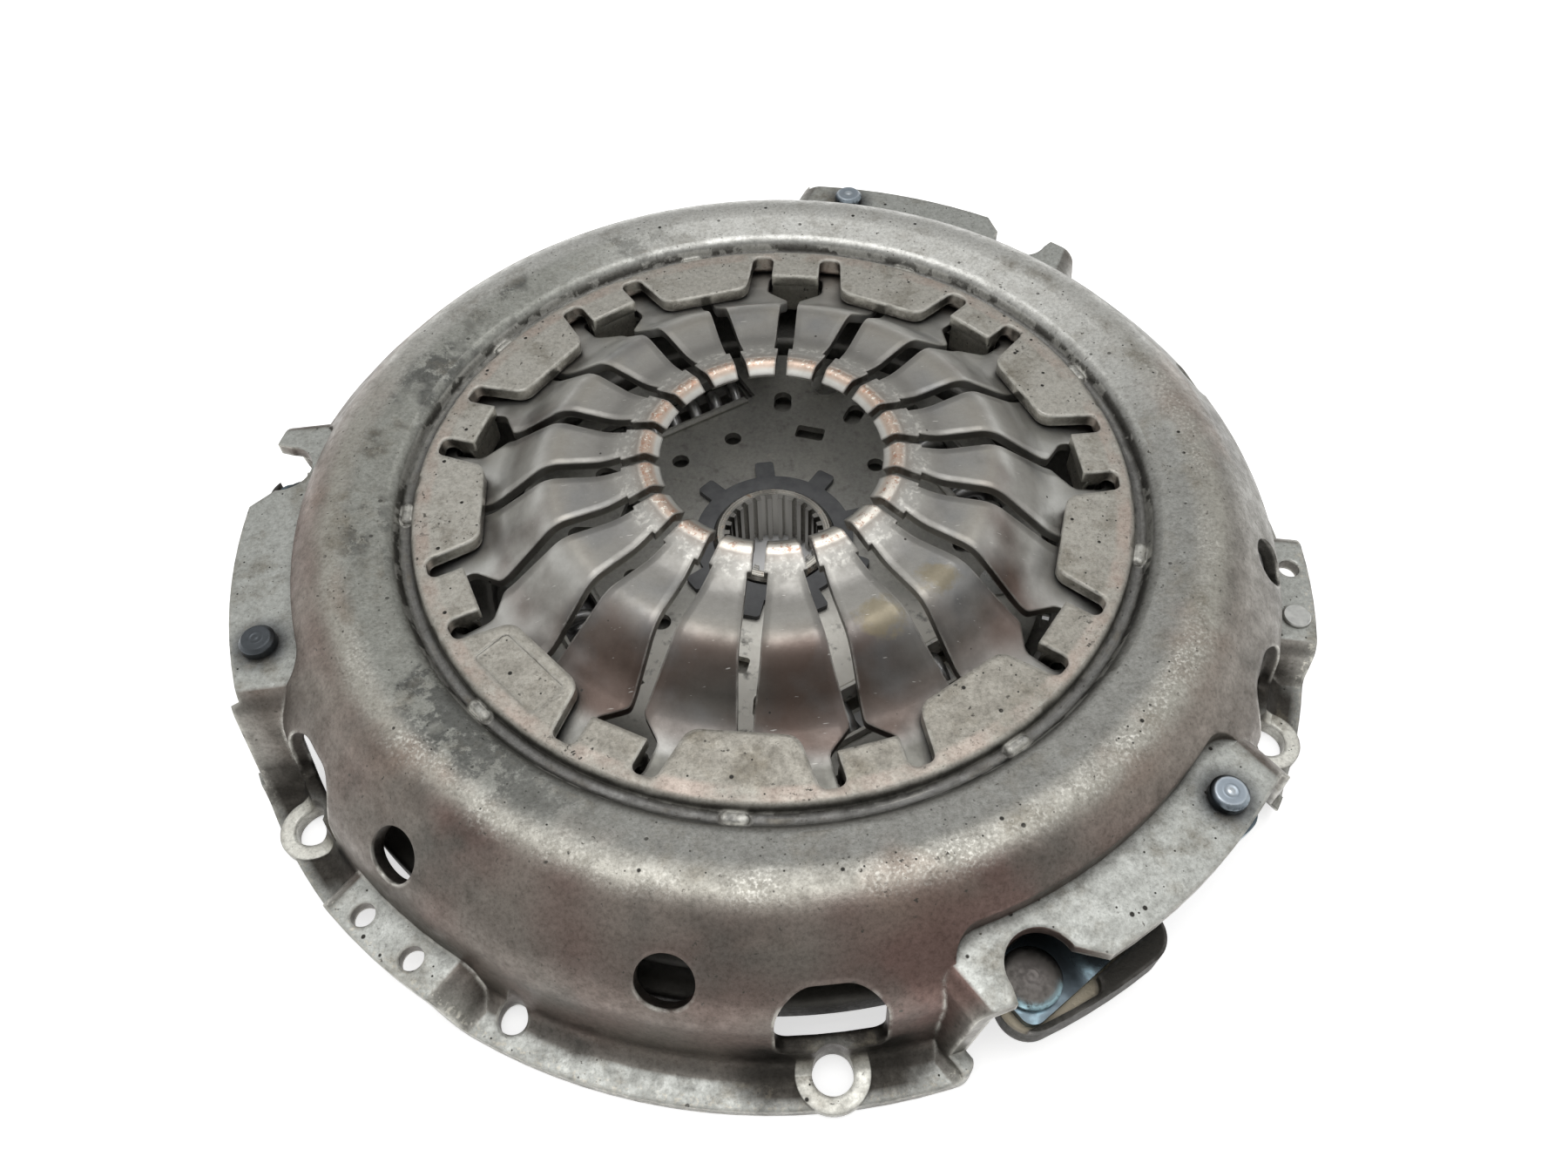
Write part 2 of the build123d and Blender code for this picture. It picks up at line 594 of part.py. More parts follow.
with BuildPart() as support_ring:
    with BuildSketch(Plane.XZ):
        add(sheet_section(SUPPORT_PATH, [2.0, 2.4], SUPPORT_SHEET))
    revolve(axis=Axis.Z)

write(support_ring.part, "support_ring")

# ---------------------------------------------------------------- pressure plate
FLYWHEEL_FACING_Z = DISC_LIFT
CUSHION_Z = FLYWHEEL_FACING_Z + FACING_SHEET
PLATE_FACING_Z = CUSHION_Z + CUSHION_SHEET
PLATE_FACE_Z = PLATE_FACING_Z + FACING_SHEET + GAP
PLATE_BACK_Z = PLATE_FACE_Z + PLATE_BODY
RIDGE_Z = belt_z(RIDGE_R + RIDGE_WIDTH / 2) - SPRING_UNDER - GAP / 3
EAR_SEAT_Z = PLATE_BACK_Z - EAR_SEAT_DEPTH
cover_pin = polar(COVER_RIVET_R, COVER_RIVET_ANGLE)
plate_pin = polar(PLATE_RIVET_R, PLATE_RIVET_ANGLE)
STRAP_SPAN = (cover_pin - plate_pin).length
strap_along = (cover_pin - plate_pin).normalized()

with BuildSketch() as ear_outline:
    add(annular_sector(PLATE_R - 6, EAR_R, EAR_START, EAR_END))
    fillet(ear_outline.vertices().sort_by_distance((0, 0))[-2:], EAR_ROUND)

with BuildSketch() as ear_seat:
    add(annular_sector(PLATE_R + GAP, EAR_R - EAR_RIM, EAR_SEAT_START, EAR_SEAT_END))
    fillet(ear_seat.vertices().sort_by_distance((0, 0))[-2:], EAR_SEAT_ROUND)
    with Locations(Location(plate_pin, (0, 0, degrees(atan2(strap_along.Y, strap_along.X))))):
        Rectangle(STRAP_SPAN, STRAP_WIDTH + 4 * GAP, align=(Align.MIN, Align.CENTER))

with BuildPart() as pressure_plate:
    with BuildSketch(Plane.XZ) as plate_section:
        with Locations(((PLATE_IN_R + PLATE_R) / 2, (PLATE_FACE_Z + PLATE_BACK_Z) / 2)):
            Rectangle(PLATE_R - PLATE_IN_R, PLATE_BODY)
        chamfer(plate_section.vertices(), 1.0)
    revolve(axis=Axis.Z)
    with BuildSketch(Plane.XZ) as ridge_section:
        with BuildLine():
            Polyline((RIDGE_R - RIDGE_WIDTH, PLATE_BACK_Z - 1), (RIDGE_R - RIDGE_WIDTH / 2, RIDGE_Z),
                     (RIDGE_R + RIDGE_WIDTH / 2, RIDGE_Z), (RIDGE_R + RIDGE_WIDTH, PLATE_BACK_Z - 1),
                     close=True)
        make_face()
        fillet(ridge_section.vertices().group_by(Axis.Y)[-1], 1.8)
    revolve(axis=Axis.Z)
    # air gaps through the ridge
    with BuildSketch(Plane.XY.offset(PLATE_BACK_Z)):
        with PolarLocations(RIDGE_R, RIDGE_GAPS, start_angle=TAB_ANGLE / 2):
            RectangleRounded(4 * RIDGE_WIDTH, 12, 5)
    extrude(amount=RIDGE_Z, mode=Mode.SUBTRACT)
    # strap ears
    with BuildSketch(Plane.XY.offset(PLATE_BACK_Z)):
        with PolarLocations(0, SECTORS):
            add(ear_outline.sketch)
    extrude(amount=-EAR_DEPTH)
    with BuildSketch(Plane.XY.offset(EAR_SEAT_Z)):
        with PolarLocations(0, SECTORS):
            add(ear_seat.sketch)
    extrude(amount=EAR_SEAT_DEPTH, mode=Mode.SUBTRACT)
    with BuildSketch(Plane.XY.offset(EAR_SEAT_Z + 1)):
        with PolarLocations(PLATE_RIVET_R, SECTORS, start_angle=PLATE_RIVET_ANGLE):
            Circle(RIVET_SHANK_R + RIVET_HOLE_GAP)
    extrude(amount=-EAR_DEPTH, mode=Mode.SUBTRACT)

write(pressure_plate.part, "pressure_plate")

# ---------------------------------------------------------------- drive straps
STRAP_PACK = STRAP_LEAVES * STRAP_SHEET
STRAP_TOP_Z = PAD_TOP - SHEET            # straps hang under the pad at the cover end
STRAP_LOW_Z = EAR_SEAT_Z + STRAP_PACK    # and lie in the ear's seat at the plate end


strap_line = Edge.make_line(plate_pin, cover_pin)


def strap_leaf(drop):
    """One spring-steel leaf, from beyond the plate rivet to beyond the cover rivet."""
    top = [
        (-STRAP_PLATE_END, STRAP_LOW_Z - drop), (STRAP_FLAT, STRAP_LOW_Z - drop),
        (STRAP_SPAN - STRAP_FLAT, STRAP_TOP_Z - drop), (STRAP_SPAN + STRAP_COVER_END, STRAP_TOP_Z - drop),
    ]
    bottom = [(x, z - STRAP_SHEET + STRAP_SLACK) for x, z in top]
    with BuildPart() as leaf:
        with BuildSketch(Plane(origin=plate_pin, x_dir=strap_along, z_dir=strap_along.cross(Vector(0, 0, 1)))):
            with BuildLine():
                FilletPolyline(*top, radius=STRAP_BEND)
                FilletPolyline(*bottom, radius=STRAP_BEND)
                Line(top[0], bottom[0])
                Line(top[-1], bottom[-1])
            make_face()
        extrude(amount=STRAP_WIDTH / 2, both=True)
        upright = leaf.edges().filter_by(Axis.Z).sort_by(strap_line)
        fillet(upright[:2], STRAP_PLATE_ROUND)
        fillet(upright[-2:], STRAP_COVER_ROUND)
        with Locations(plate_pin, cover_pin):
            Hole(RIVET_SHANK_R + RIVET_HOLE_GAP)
    return leaf.part


leaf_parts = [strap_leaf(number * STRAP_SHEET) for number in range(STRAP_LEAVES)]
for sector in range(SECTORS):
    with BuildPart() as drive_straps:
        with Locations(Rotation(0, 0, sector * SECTOR_ANGLE)):
            for leaf in leaf_parts:
                add(leaf)
    write(drive_straps.part, f"drive_straps_{sector + 1}")


def rivet(head, tail, seat_z, grip, shank=RIVET_SHANK_R):
    """Round rivet on the axis: head above its seat, shank through the grip, tail below."""
    with BuildPart() as pin:
        with BuildSketch(Plane.XY.offset(seat_z)):
            Circle(head[0])
        extrude(amount=head[1])
        chamfer(pin.edges().group_by(Axis.Z)[-1], head[1] * 0.3)
        with BuildSketch(Plane.XY.offset(seat_z)):
            Circle(shank)
        extrude(amount=-grip)
        with BuildSketch(Plane.XY.offset(seat_z - grip)):
            Circle(tail[0])
        extrude(amount=-tail[1])
    return pin.part


strap_grip = SHEET + STRAP_PACK
cover_rivet = rivet(COVER_RIVET_HEAD, COVER_RIVET_TAIL, PAD_TOP, strap_grip)
with BuildPart() as strap_cover_rivets:
    with PolarLocations(COVER_RIVET_R, SECTORS, start_angle=COVER_RIVET_ANGLE):
        add(cover_rivet)
write(strap_cover_rivets.part, "strap_cover_rivets")

plate_rivet = rivet(PLATE_RIVET_HEAD, PLATE_RIVET_TAIL, STRAP_LOW_Z, STRAP_PACK + EAR_DEPTH - EAR_SEAT_DEPTH)
with BuildPart() as strap_plate_rivets:
    with PolarLocations(PLATE_RIVET_R, SECTORS, start_angle=PLATE_RIVET_ANGLE):
        add(plate_rivet)
write(strap_plate_rivets.part, "strap_plate_rivets")

balance_pin = rivet(BALANCE_RIVET_HEAD, (BALANCE_HOLE_R + 0.6, 1.6), STEP_TOP, SHEET,
                    BALANCE_HOLE_R - RIVET_HOLE_GAP)
with BuildPart() as balance_rivet:
    with PolarLocations(BALANCE_R, 1, start_angle=BALANCE_RIVET_ANGLE):
        add(balance_pin)
write(balance_rivet.part, "balance_rivet")

# ---------------------------------------------------------------- driven disc: facings and cushions
SEGMENT_ANGLE = 360.0 / SEGMENTS
SEGMENT_AT = DISC_PHASE + SEGMENT_ANGLE / 2      # centre of the first cushion segment


def facing_rivet_spots(flywheel_side):
    """Places of the facing rivets whose heads lie on one side; the sides alternate along a row."""
    spots = []
    for row, radius in enumerate(FACING_ROWS):
        half = SEGMENT_ANGLE / 4 if (row + flywheel_side) % 2 else -SEGMENT_ANGLE / 4
        for number in range(SEGMENTS):
            spots.append(polar(radius, SEGMENT_AT + number * SEGMENT_ANGLE + half))
    return spots


def facing(flywheel_side):
    """Friction facing on the plane Z = 0, friction face up: grooves, sunk seats and rivet holes."""
    with BuildPart() as ring:
        with BuildSketch():
            Circle(FACING_R)
            Circle(FACING_IN_R, mode=Mode.SUBTRACT)
            with Locations(facing_rivet_spots(flywheel_side)):
                Circle(FACING_RIVET_R + RIVET_HOLE_GAP, mode=Mode.SUBTRACT)
            with Locations(facing_rivet_spots(not flywheel_side)):
                Circle(FACING_SEAT_R, mode=Mode.SUBTRACT)
        extrude(amount=FACING_SHEET)
        with BuildSketch(Plane.XY.offset(FACING_SHEET)):
            with Locations(facing_rivet_spots(flywheel_side)):
                Circle(FACING_SEAT_R)
        extrude(amount=-FACING_SEAT_DEPTH, mode=Mode.SUBTRACT)
        with BuildSketch(Plane.XY.offset(FACING_SHEET)):
            with PolarLocations((FACING_R + FACING_IN_R) / 2, FACING_GROOVES, start_angle=DISC_PHASE):
                Rectangle(FACING_R - FACING_IN_R + 2 * FACING_GROOVE[0], FACING_GROOVE[0])
        extrude(amount=-FACING_GROOVE[1], mode=Mode.SUBTRACT)
    return ring.part


with BuildPart() as facing_plate_side:
    with Locations((0, 0, PLATE_FACING_Z)):
        add(facing(False))
write(facing_plate_side.part, "facing_plate_side")

with BuildPart() as facing_flywheel_side:
    add(mirror(facing(True), about=Plane.XY.offset(CUSHION_Z / 2), mode=Mode.PRIVATE))
write(facing_flywheel_side.part, "facing_flywheel_side")

with BuildSketch() as segment_outline:
    add(annular_sector(FACING_IN_R - 3, SEGMENT_R, -SEGMENT_HALF, SEGMENT_HALF))
    add(annular_sector(NECK_IN_R, FACING_IN_R - 2, -NECK_HALF, NECK_HALF))
    fillet(segment_outline.vertices().sort_by_distance((0, 0))[-2:], 3)
    with PolarLocations(SEGMENT_RIVET_R, 2, start_angle=-SEGMENT_RIVET_SPREAD,
                        angular_range=4 * SEGMENT_RIVET_SPREAD):
        Circle(SEGMENT_RIVET_SHANK_R + RIVET_HOLE_GAP, mode=Mode.SUBTRACT)
    for row in FACING_ROWS:
        with PolarLocations(row, 2, start_angle=-SEGMENT_ANGLE / 4, angular_range=SEGMENT_ANGLE):
            Circle(FACING_RIVET_R + RIVET_HOLE_GAP, mode=Mode.SUBTRACT)

with BuildPart() as cushion_segments:
    with BuildSketch(Plane.XY.offset(CUSHION_Z)):
        with PolarLocations(0, SEGMENTS, start_angle=SEGMENT_AT):
            add(segment_outline.sketch)
    extrude(amount=CUSHION_SHEET)
write(cushion_segments.part, "cushion_segments")

facing_grip = FACING_SHEET - FACING_SEAT_DEPTH + CUSHION_SHEET
with BuildPart() as facing_rivets_plate_side:
    with Locations(facing_rivet_spots(False)):
        add(rivet(FACING_RIVET_HEAD, FACING_RIVET_TAIL, CUSHION_Z + facing_grip, facing_grip,
                  FACING_RIVET_R))
write(facing_rivets_plate_side.part, "facing_rivets_plate_side")

with BuildPart() as facing_rivets_flywheel_side:
    with Locations(facing_rivet_spots(True)):
        add(rivet(FACING_RIVET_TAIL, FACING_RIVET_HEAD, PLATE_FACING_Z, facing_grip, FACING_RIVET_R))
write(facing_rivets_flywheel_side.part, "facing_rivets_flywheel_side")

segment_rivet = rivet(SEGMENT_RIVET_HEAD, SEGMENT_RIVET_HEAD, PLATE_FACING_Z,
                      CUSHION_SHEET + RETAINER_SHEET, SEGMENT_RIVET_SHANK_R)
with BuildPart() as segment_rivets:
    for side in (-1, 1):
        with PolarLocations(SEGMENT_RIVET_R, SEGMENTS, start_angle=SEGMENT_AT + side * SEGMENT_RIVET_SPREAD):
            add(segment_rivet)
write(segment_rivets.part, "segment_rivets")

# ---------------------------------------------------------------- driven disc: retainers and pins
REAR_RETAINER_Z = CUSHION_Z - RETAINER_SHEET
FRONT_RETAINER_Z = RETAINER_TOP - RETAINER_SHEET
COIL_Z = (CUSHION_Z + FRONT_RETAINER_Z) / 2
COIL_ANGLE = DISC_PHASE + 180.0 / COILS          # the coils sit halfway between the stop pins
RETAINER_WINDOW = 2 * (sqrt(COIL_R ** 2 - (FRONT_RETAINER_Z - COIL_Z) ** 2) + WINDOW_SLACK)
COIL_ROOM = COIL_LENGTH + 2 * WINDOW_SLACK

with BuildPart() as rear_retainer:
    with BuildSketch(Plane.XY.offset(REAR_RETAINER_Z)):
        Circle(REAR_RETAINER_R)
        Circle(RETAINER_BORE_R, mode=Mode.SUBTRACT)
        with PolarLocations(COIL_AT_R, COILS, start_angle=COIL_ANGLE):
            Rectangle(RETAINER_WINDOW, COIL_ROOM, mode=Mode.SUBTRACT)
        with PolarLocations(STOP_PIN_AT_R, COILS, start_angle=DISC_PHASE):
            Circle(STOP_PIN_NECK_R + FIT, mode=Mode.SUBTRACT)
        for side in (-1, 1):
            with PolarLocations(SEGMENT_RIVET_R, SEGMENTS,
                                start_angle=SEGMENT_AT + side * SEGMENT_RIVET_SPREAD):
                Circle(SEGMENT_RIVET_SHANK_R + RIVET_HOLE_GAP, mode=Mode.SUBTRACT)
    extrude(amount=RETAINER_SHEET)
write(rear_retainer.part, "rear_retainer")

with BuildPart() as front_retainer:
    with BuildSketch(Plane.XY.offset(FRONT_RETAINER_Z)):
        Circle(RETAINER_R)
    extrude(amount=RETAINER_SHEET)
    # lips that hold the coils in their windows
    with BuildSketch(Plane.XY.offset(RETAINER_TOP)):
        with PolarLocations(COIL_AT_R, COILS, start_angle=COIL_ANGLE):
            Rectangle(RETAINER_WINDOW + 2 * LIP, COIL_ROOM - 4 * LIP)
    extrude(amount=LIP)
    chamfer(front_retainer.edges().group_by(Axis.Z)[-1], LIP / 2)
    with BuildSketch(Plane.XY.offset(FRONT_RETAINER_Z)):
        Circle(RETAINER_BORE_R)
        with PolarLocations(COIL_AT_R, COILS, start_angle=COIL_ANGLE):
            Rectangle(RETAINER_WINDOW, COIL_ROOM)
        with PolarLocations(STOP_PIN_AT_R, COILS, start_angle=DISC_PHASE):
            Circle(STOP_PIN_NECK_R + FIT)
        with PolarLocations(VENT[2], COILS, start_angle=DISC_PHASE):
            RectangleRounded(VENT[0], VENT[1], 1)
        for side in (-1, 1):
            with PolarLocations(OBLONG[2] + OBLONG[0] / 2, COILS, start_angle=DISC_PHASE + side * OBLONG[3]):
                SlotOverall(OBLONG[0], OBLONG[1])
            with PolarLocations(ROUND_VENT[1], COILS, start_angle=DISC_PHASE + side * ROUND_VENT[2]):
                Circle(ROUND_VENT[0])
    extrude(amount=RETAINER_SHEET + 2 * LIP, mode=Mode.SUBTRACT)
write(front_retainer.part, "front_retainer")


def turned(steps):
    """Round piece on the axis from (radius, from height, to height) steps."""
    with BuildPart() as piece:
        for radius, low, high in steps:
            with BuildSketch(Plane.XY.offset(low)):
                Circle(radius)
            extrude(amount=high - low)
    return piece.part


stop_pin = turned([
    (STOP_PIN_HEAD[0], REAR_RETAINER_Z - STOP_PIN_HEAD[1], REAR_RETAINER_Z),
    (STOP_PIN_NECK_R, REAR_RETAINER_Z, CUSHION_Z), (STOP_PIN_R, CUSHION_Z, FRONT_RETAINER_Z),
    (STOP_PIN_NECK_R, FRONT_RETAINER_Z, RETAINER_TOP),
    (STOP_PIN_HEAD[0], RETAINER_TOP, RETAINER_TOP + STOP_PIN_HEAD[1]),
])
with BuildPart() as stop_pins:
    with PolarLocations(STOP_PIN_AT_R, COILS, start_angle=DISC_PHASE):
        add(stop_pin)
write(stop_pins.part, "stop_pins")

COIL_PITCH = (COIL_LENGTH - 2 * COIL_WIRE_R) / COIL_TURNS
with BuildPart() as damper_coil:
    with BuildLine() as coil_line:
        Helix(pitch=COIL_PITCH, height=COIL_LENGTH - 2 * COIL_WIRE_R, radius=COIL_R - COIL_WIRE_R)
    with BuildSketch(Plane(origin=coil_line.line @ 0, z_dir=coil_line.line % 0)):
        Circle(COIL_WIRE_R)
    sweep(is_frenet=True)

coil_part = damper_coil.part.moved(Location((0, 0, COIL_WIRE_R - COIL_LENGTH / 2)))
coil_part = coil_part.moved(Location((COIL_AT_R, 0, COIL_Z), (90, 0, 0)))
with BuildPart() as damper_springs:
    with PolarLocations(0, COILS, start_angle=COIL_ANGLE):
        add(coil_part)
write(damper_springs.part, "damper_springs")


# ---------------------------------------------------------------- driven disc: rings on the hub
def washer(inner, outer, low, high):
    """Flat ring between two heights."""
    with BuildPart() as ring:
        with BuildSketch(Plane.XY.offset(low)):
            Circle(outer)
            Circle(inner, mode=Mode.SUBTRACT)
        extrude(amount=high - low)
    return ring.part


HUB_PLATE_Z = COIL_Z - HUB_PLATE_SHEET / 2
HUB_PLATE_TOP = COIL_Z + HUB_PLATE_SHEET / 2
BUSH_IN_R = HUB_R + FIT

with BuildPart() as front_bush:
    add(washer(BUSH_IN_R, BUSH_R, COLLAR_TOP + FIT, RETAINER_TOP - FIT))
write(front_bush.part, "front_bush")

with BuildPart() as rear_bush:
    add(washer(BUSH_IN_R, BUSH_R, REAR_RETAINER_Z, COLLAR_BOTTOM - FIT))
write(rear_bush.part, "rear_bush")

with BuildPart() as front_friction_washer:
    add(washer(WASHER_IN_R, WASHER_R, HUB_PLATE_TOP + FIT, FRONT_RETAINER_Z - FIT))
write(front_friction_washer.part, "front_friction_washer")

with BuildPart() as rear_friction_washer:
    add(washer(WASHER_IN_R, WASHER_R, CUSHION_Z + FIT, CUSHION_Z + WASHER_SHEET))
write(rear_friction_washer.part, "rear_friction_washer")

with BuildPart() as cone_spring:
    with BuildSketch(Plane.XZ):
        with BuildLine():
            Polyline((WASHER_IN_R, HUB_PLATE_Z - FIT - CONE_SHEET), (WASHER_R, CUSHION_Z + WASHER_SHEET + FIT),
                     (WASHER_R, CUSHION_Z + WASHER_SHEET + FIT + CONE_SHEET),
                     (WASHER_IN_R, HUB_PLATE_Z - FIT), close=True)
        make_face()
    revolve(axis=Axis.Z)
write(cone_spring.part, "cone_spring")

with BuildPart() as tabbed_friction_ring:
    with BuildSketch(Plane.XY.offset(RETAINER_TOP)) as tab_ring_outline:
        Circle(TAB_RING_R)
        with PolarLocations((TAB_RING_IN_R + TAB_RING_TAB_R) / 2, TAB_RING_TABS, start_angle=TAB_RING_AT):
            RectangleRounded(TAB_RING_TAB_R - TAB_RING_IN_R, TAB_RING_TAB_W, 1)
        Circle(TAB_RING_IN_R, mode=Mode.SUBTRACT)
    extrude(amount=TAB_RING_SHEET)
write(tabbed_friction_ring.part, "tabbed_friction_ring")

# ---------------------------------------------------------------- driven disc: hub
with BuildSketch() as hub_teeth:
    Circle(COLLAR_R)
    with PolarLocations((COLLAR_R + HUB_TOOTH_R) / 2 - 1, HUB_TEETH, start_angle=DISC_PHASE):
        Rectangle(HUB_TOOTH_R - COLLAR_R + 2, HUB_TOOTH_WIDTH)

with BuildPart() as hub:
    with BuildSketch(Plane.XY.offset(HUB_BOTTOM)):
        Circle(HUB_R)
    extrude(amount=HUB_TOP - HUB_BOTTOM)
    chamfer(hub.edges(), 1)
    with BuildSketch(Plane.XY.offset(COLLAR_BOTTOM)):
        add(hub_teeth.sketch)
    extrude(amount=COLLAR_TOP - COLLAR_BOTTOM)
    with BuildSketch(Plane.XY.offset(HUB_BOTTOM)):
        Circle(SPLINE_MINOR_R)
        with PolarLocations(SPLINE_MAJOR_R - 1, SPLINE_COUNT, start_angle=DISC_PHASE):
            Rectangle(2, SPLINE_WIDTH)
    extrude(amount=HUB_TOP - HUB_BOTTOM, mode=Mode.SUBTRACT)
write(hub.part, "hub")

with BuildPart() as hub_flange:
    with BuildSketch(Plane.XY.offset(HUB_PLATE_Z)):
        Circle(HUB_PLATE_R)
        with PolarLocations(COIL_AT_R, COILS, start_angle=COIL_ANGLE):
            Rectangle(2 * (COIL_R + WINDOW_SLACK), COIL_ROOM, mode=Mode.SUBTRACT)
        notch_half = degrees(asin(STOP_PIN_R / STOP_PIN_AT_R)) + STOP_TRAVEL + STOP_SLACK
        with PolarLocations(0, COILS, start_angle=DISC_PHASE):
            add(annular_sector(STOP_PIN_AT_R - STOP_PIN_R - STOP_SLACK, HUB_PLATE_R + 5, -notch_half, notch_half),
                mode=Mode.SUBTRACT)
        add(offset(hub_teeth.sketch, FIT, mode=Mode.PRIVATE), mode=Mode.SUBTRACT)
    extrude(amount=HUB_PLATE_SHEET)
write(hub_flange.part, "hub_flange")
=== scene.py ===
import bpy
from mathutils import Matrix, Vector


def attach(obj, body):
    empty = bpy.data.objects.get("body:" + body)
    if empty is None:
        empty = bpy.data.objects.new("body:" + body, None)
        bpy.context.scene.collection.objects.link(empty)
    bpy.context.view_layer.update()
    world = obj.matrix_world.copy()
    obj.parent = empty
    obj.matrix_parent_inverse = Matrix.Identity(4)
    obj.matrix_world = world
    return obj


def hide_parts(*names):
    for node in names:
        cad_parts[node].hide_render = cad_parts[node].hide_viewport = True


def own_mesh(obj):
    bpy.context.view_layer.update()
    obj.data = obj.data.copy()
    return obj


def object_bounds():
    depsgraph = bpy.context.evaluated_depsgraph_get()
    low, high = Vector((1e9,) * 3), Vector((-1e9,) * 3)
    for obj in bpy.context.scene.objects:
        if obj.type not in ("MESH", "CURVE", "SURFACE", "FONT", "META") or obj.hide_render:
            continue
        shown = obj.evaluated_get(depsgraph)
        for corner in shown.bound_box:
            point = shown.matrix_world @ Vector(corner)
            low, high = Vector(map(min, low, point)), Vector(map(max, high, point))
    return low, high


bl_info = {
    "name": "Clutch Cover Assembly",
    "version": (1, 0, 0),
    "blender": (4, 5, 0),
    "location": "View3D > Sidebar > Clutch",
    "description": "Finishes, springs and studio for a clutch cover with its driven disc",
    "category": "Object",
}

import math

import bmesh
import bpy
from bpy.props import FloatProperty, FloatVectorProperty, IntProperty, PointerProperty
from mathutils import Matrix, Vector

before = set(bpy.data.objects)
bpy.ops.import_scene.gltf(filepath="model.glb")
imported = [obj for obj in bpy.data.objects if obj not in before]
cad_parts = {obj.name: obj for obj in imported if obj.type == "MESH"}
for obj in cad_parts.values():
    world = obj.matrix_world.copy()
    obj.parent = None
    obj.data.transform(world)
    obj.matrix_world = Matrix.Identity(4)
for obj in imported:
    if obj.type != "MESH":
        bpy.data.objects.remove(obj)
cad_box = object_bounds()

MM = 0.001
PAD_FOLD_R = 123.8                   # where the strap pads leave the dome, in millimetres from the axis
GROOVE_R = (93.4, 96.4)              # inner and outer edge of the fulcrum groove, in millimetres
COVER_RIVETS = (3, 133.6, 314.0)     # number, circle in millimetres, angle of the first in degrees
PLATE_RIVETS = (3, 134.6, 288.9)
BOLT_HOLES = (6, 139.0, 30.0)
FINGERS = 18
FIRST_COIL = 115.0                   # angle of the first damper coil, in degrees
RIM_WIDTH = 0.0072
RIM_HEIGHT = 0.0136                  # middle of the rim above the flange face
RIM_ARC = (318.0, 79.0)              # start and length of the first arc, in degrees
RIM_EASE = 0.0012                    # radius of the rim's corners
RIM_FOLD = 40.0                      # folds sharper than this stay crisp, in degrees
SHEET_FOLD = 24.0
WELD = 0.000002                      # points of a CAD mesh closer than this are one
FLOOR_GAP = 0.0002                   # from the lowest point down to the floor
LAMP_PLACE = (0.0, 0.08, 0.8)
CAMERA_PLACE = (-0.0132, -0.1994, 0.2671)
CAMERA_ANGLES = (-4.5, 53.958, -1.19)      # turn round the clutch, height and roll, in degrees


def linear(code):
    """Linear colour for an sRGB hex code."""
    parts = [int(code[at:at + 2], 16) / 255 for at in (1, 3, 5)]
    parts = [part / 12.92 if part <= 0.04045 else ((part + 0.055) / 1.055) ** 2.4 for part in parts]
    return (*parts, 1.0)


def per_mm(size):
    """Texture scale that gives features of a size in millimetres on Object coordinates."""
    return 1000.0 / size


def add_node(tree, kind, inputs=None, stops=None, **settings):
    """Adds one node: settings are its properties, inputs its values or links, stops its ramp."""
    made = tree.nodes.new(kind)
    for name, value in settings.items():
        setattr(made, name, value)
    for key, value in (inputs or {}).items():
        if isinstance(value, bpy.types.NodeSocket):
            tree.links.new(value, made.inputs[key])
        else:
            made.inputs[key].default_value = value
    if stops:
        ramp = made.color_ramp.elements
        ramp[0].position, ramp[1].position = stops[0][0], stops[-1][0]
        for place, _ in stops[1:-1]:
            ramp.new(place)
        for element, (_, code) in zip(ramp, stops):
            element.color = linear(code)
    return made


def calc(tree, operation, *values):
    """Result of a sum on values or links."""
    return add_node(tree, "ShaderNodeMath", dict(enumerate(values)), operation=operation).outputs[0]


def vector(tree, x=0.0, y=0.0, z=0.0):
    """Vector from its parts."""
    return add_node(tree, "ShaderNodeCombineXYZ", {0: x, 1: y, 2: z}).outputs[0]


def length(tree, arrow):
    """Length of a vector."""
    return add_node(tree, "ShaderNodeVectorMath", {0: arrow}, operation="LENGTH").outputs["Value"]


def along(tree, arrow, direction):
    """How far a vector reaches along a direction."""
    reach = add_node(tree, "ShaderNodeVectorMath", {0: arrow, 1: direction}, operation="DOT_PRODUCT")
    return reach.outputs["Value"]


def ranged(tree, value, low, high, start=0.0, end=1.0, step="LINEAR"):
    """Value carried from one range to another and held at its ends."""
    return add_node(tree, "ShaderNodeMapRange", {0: value, 1: low, 2: high, 3: start, 4: end},
                    interpolation_type=step).outputs[0]


def ramped(tree, share, stops):
    """Colour that follows a share from 0 to 1."""
    return add_node(tree, "ShaderNodeValToRGB", {0: share}, stops).outputs[0]


def clouds(tree, place, size, detail=5.0, rough=0.5):
    """Noise with clouds of a size in millimetres."""
    return add_node(tree, "ShaderNodeTexNoise", {
        "Vector": place, "Scale": per_mm(size), "Detail": detail, "Roughness": rough}).outputs[0]


def new_finish(name, metallic, roughness):
    """New material with its tree, its surface node and its Object coordinates."""
    material = bpy.data.materials.new(name)
    material.use_nodes = True
    tree = material.node_tree
    surface = tree.nodes["Principled BSDF"]
    surface.inputs["Metallic"].default_value = metallic
    surface.inputs["Roughness"].default_value = roughness
    place = add_node(tree, "ShaderNodeTexCoord")
    return material, tree, surface, place


def painted(tree, surface, colour):
    """Gives the surface its colour."""
    tree.links.new(colour, surface.inputs["Base Color"])


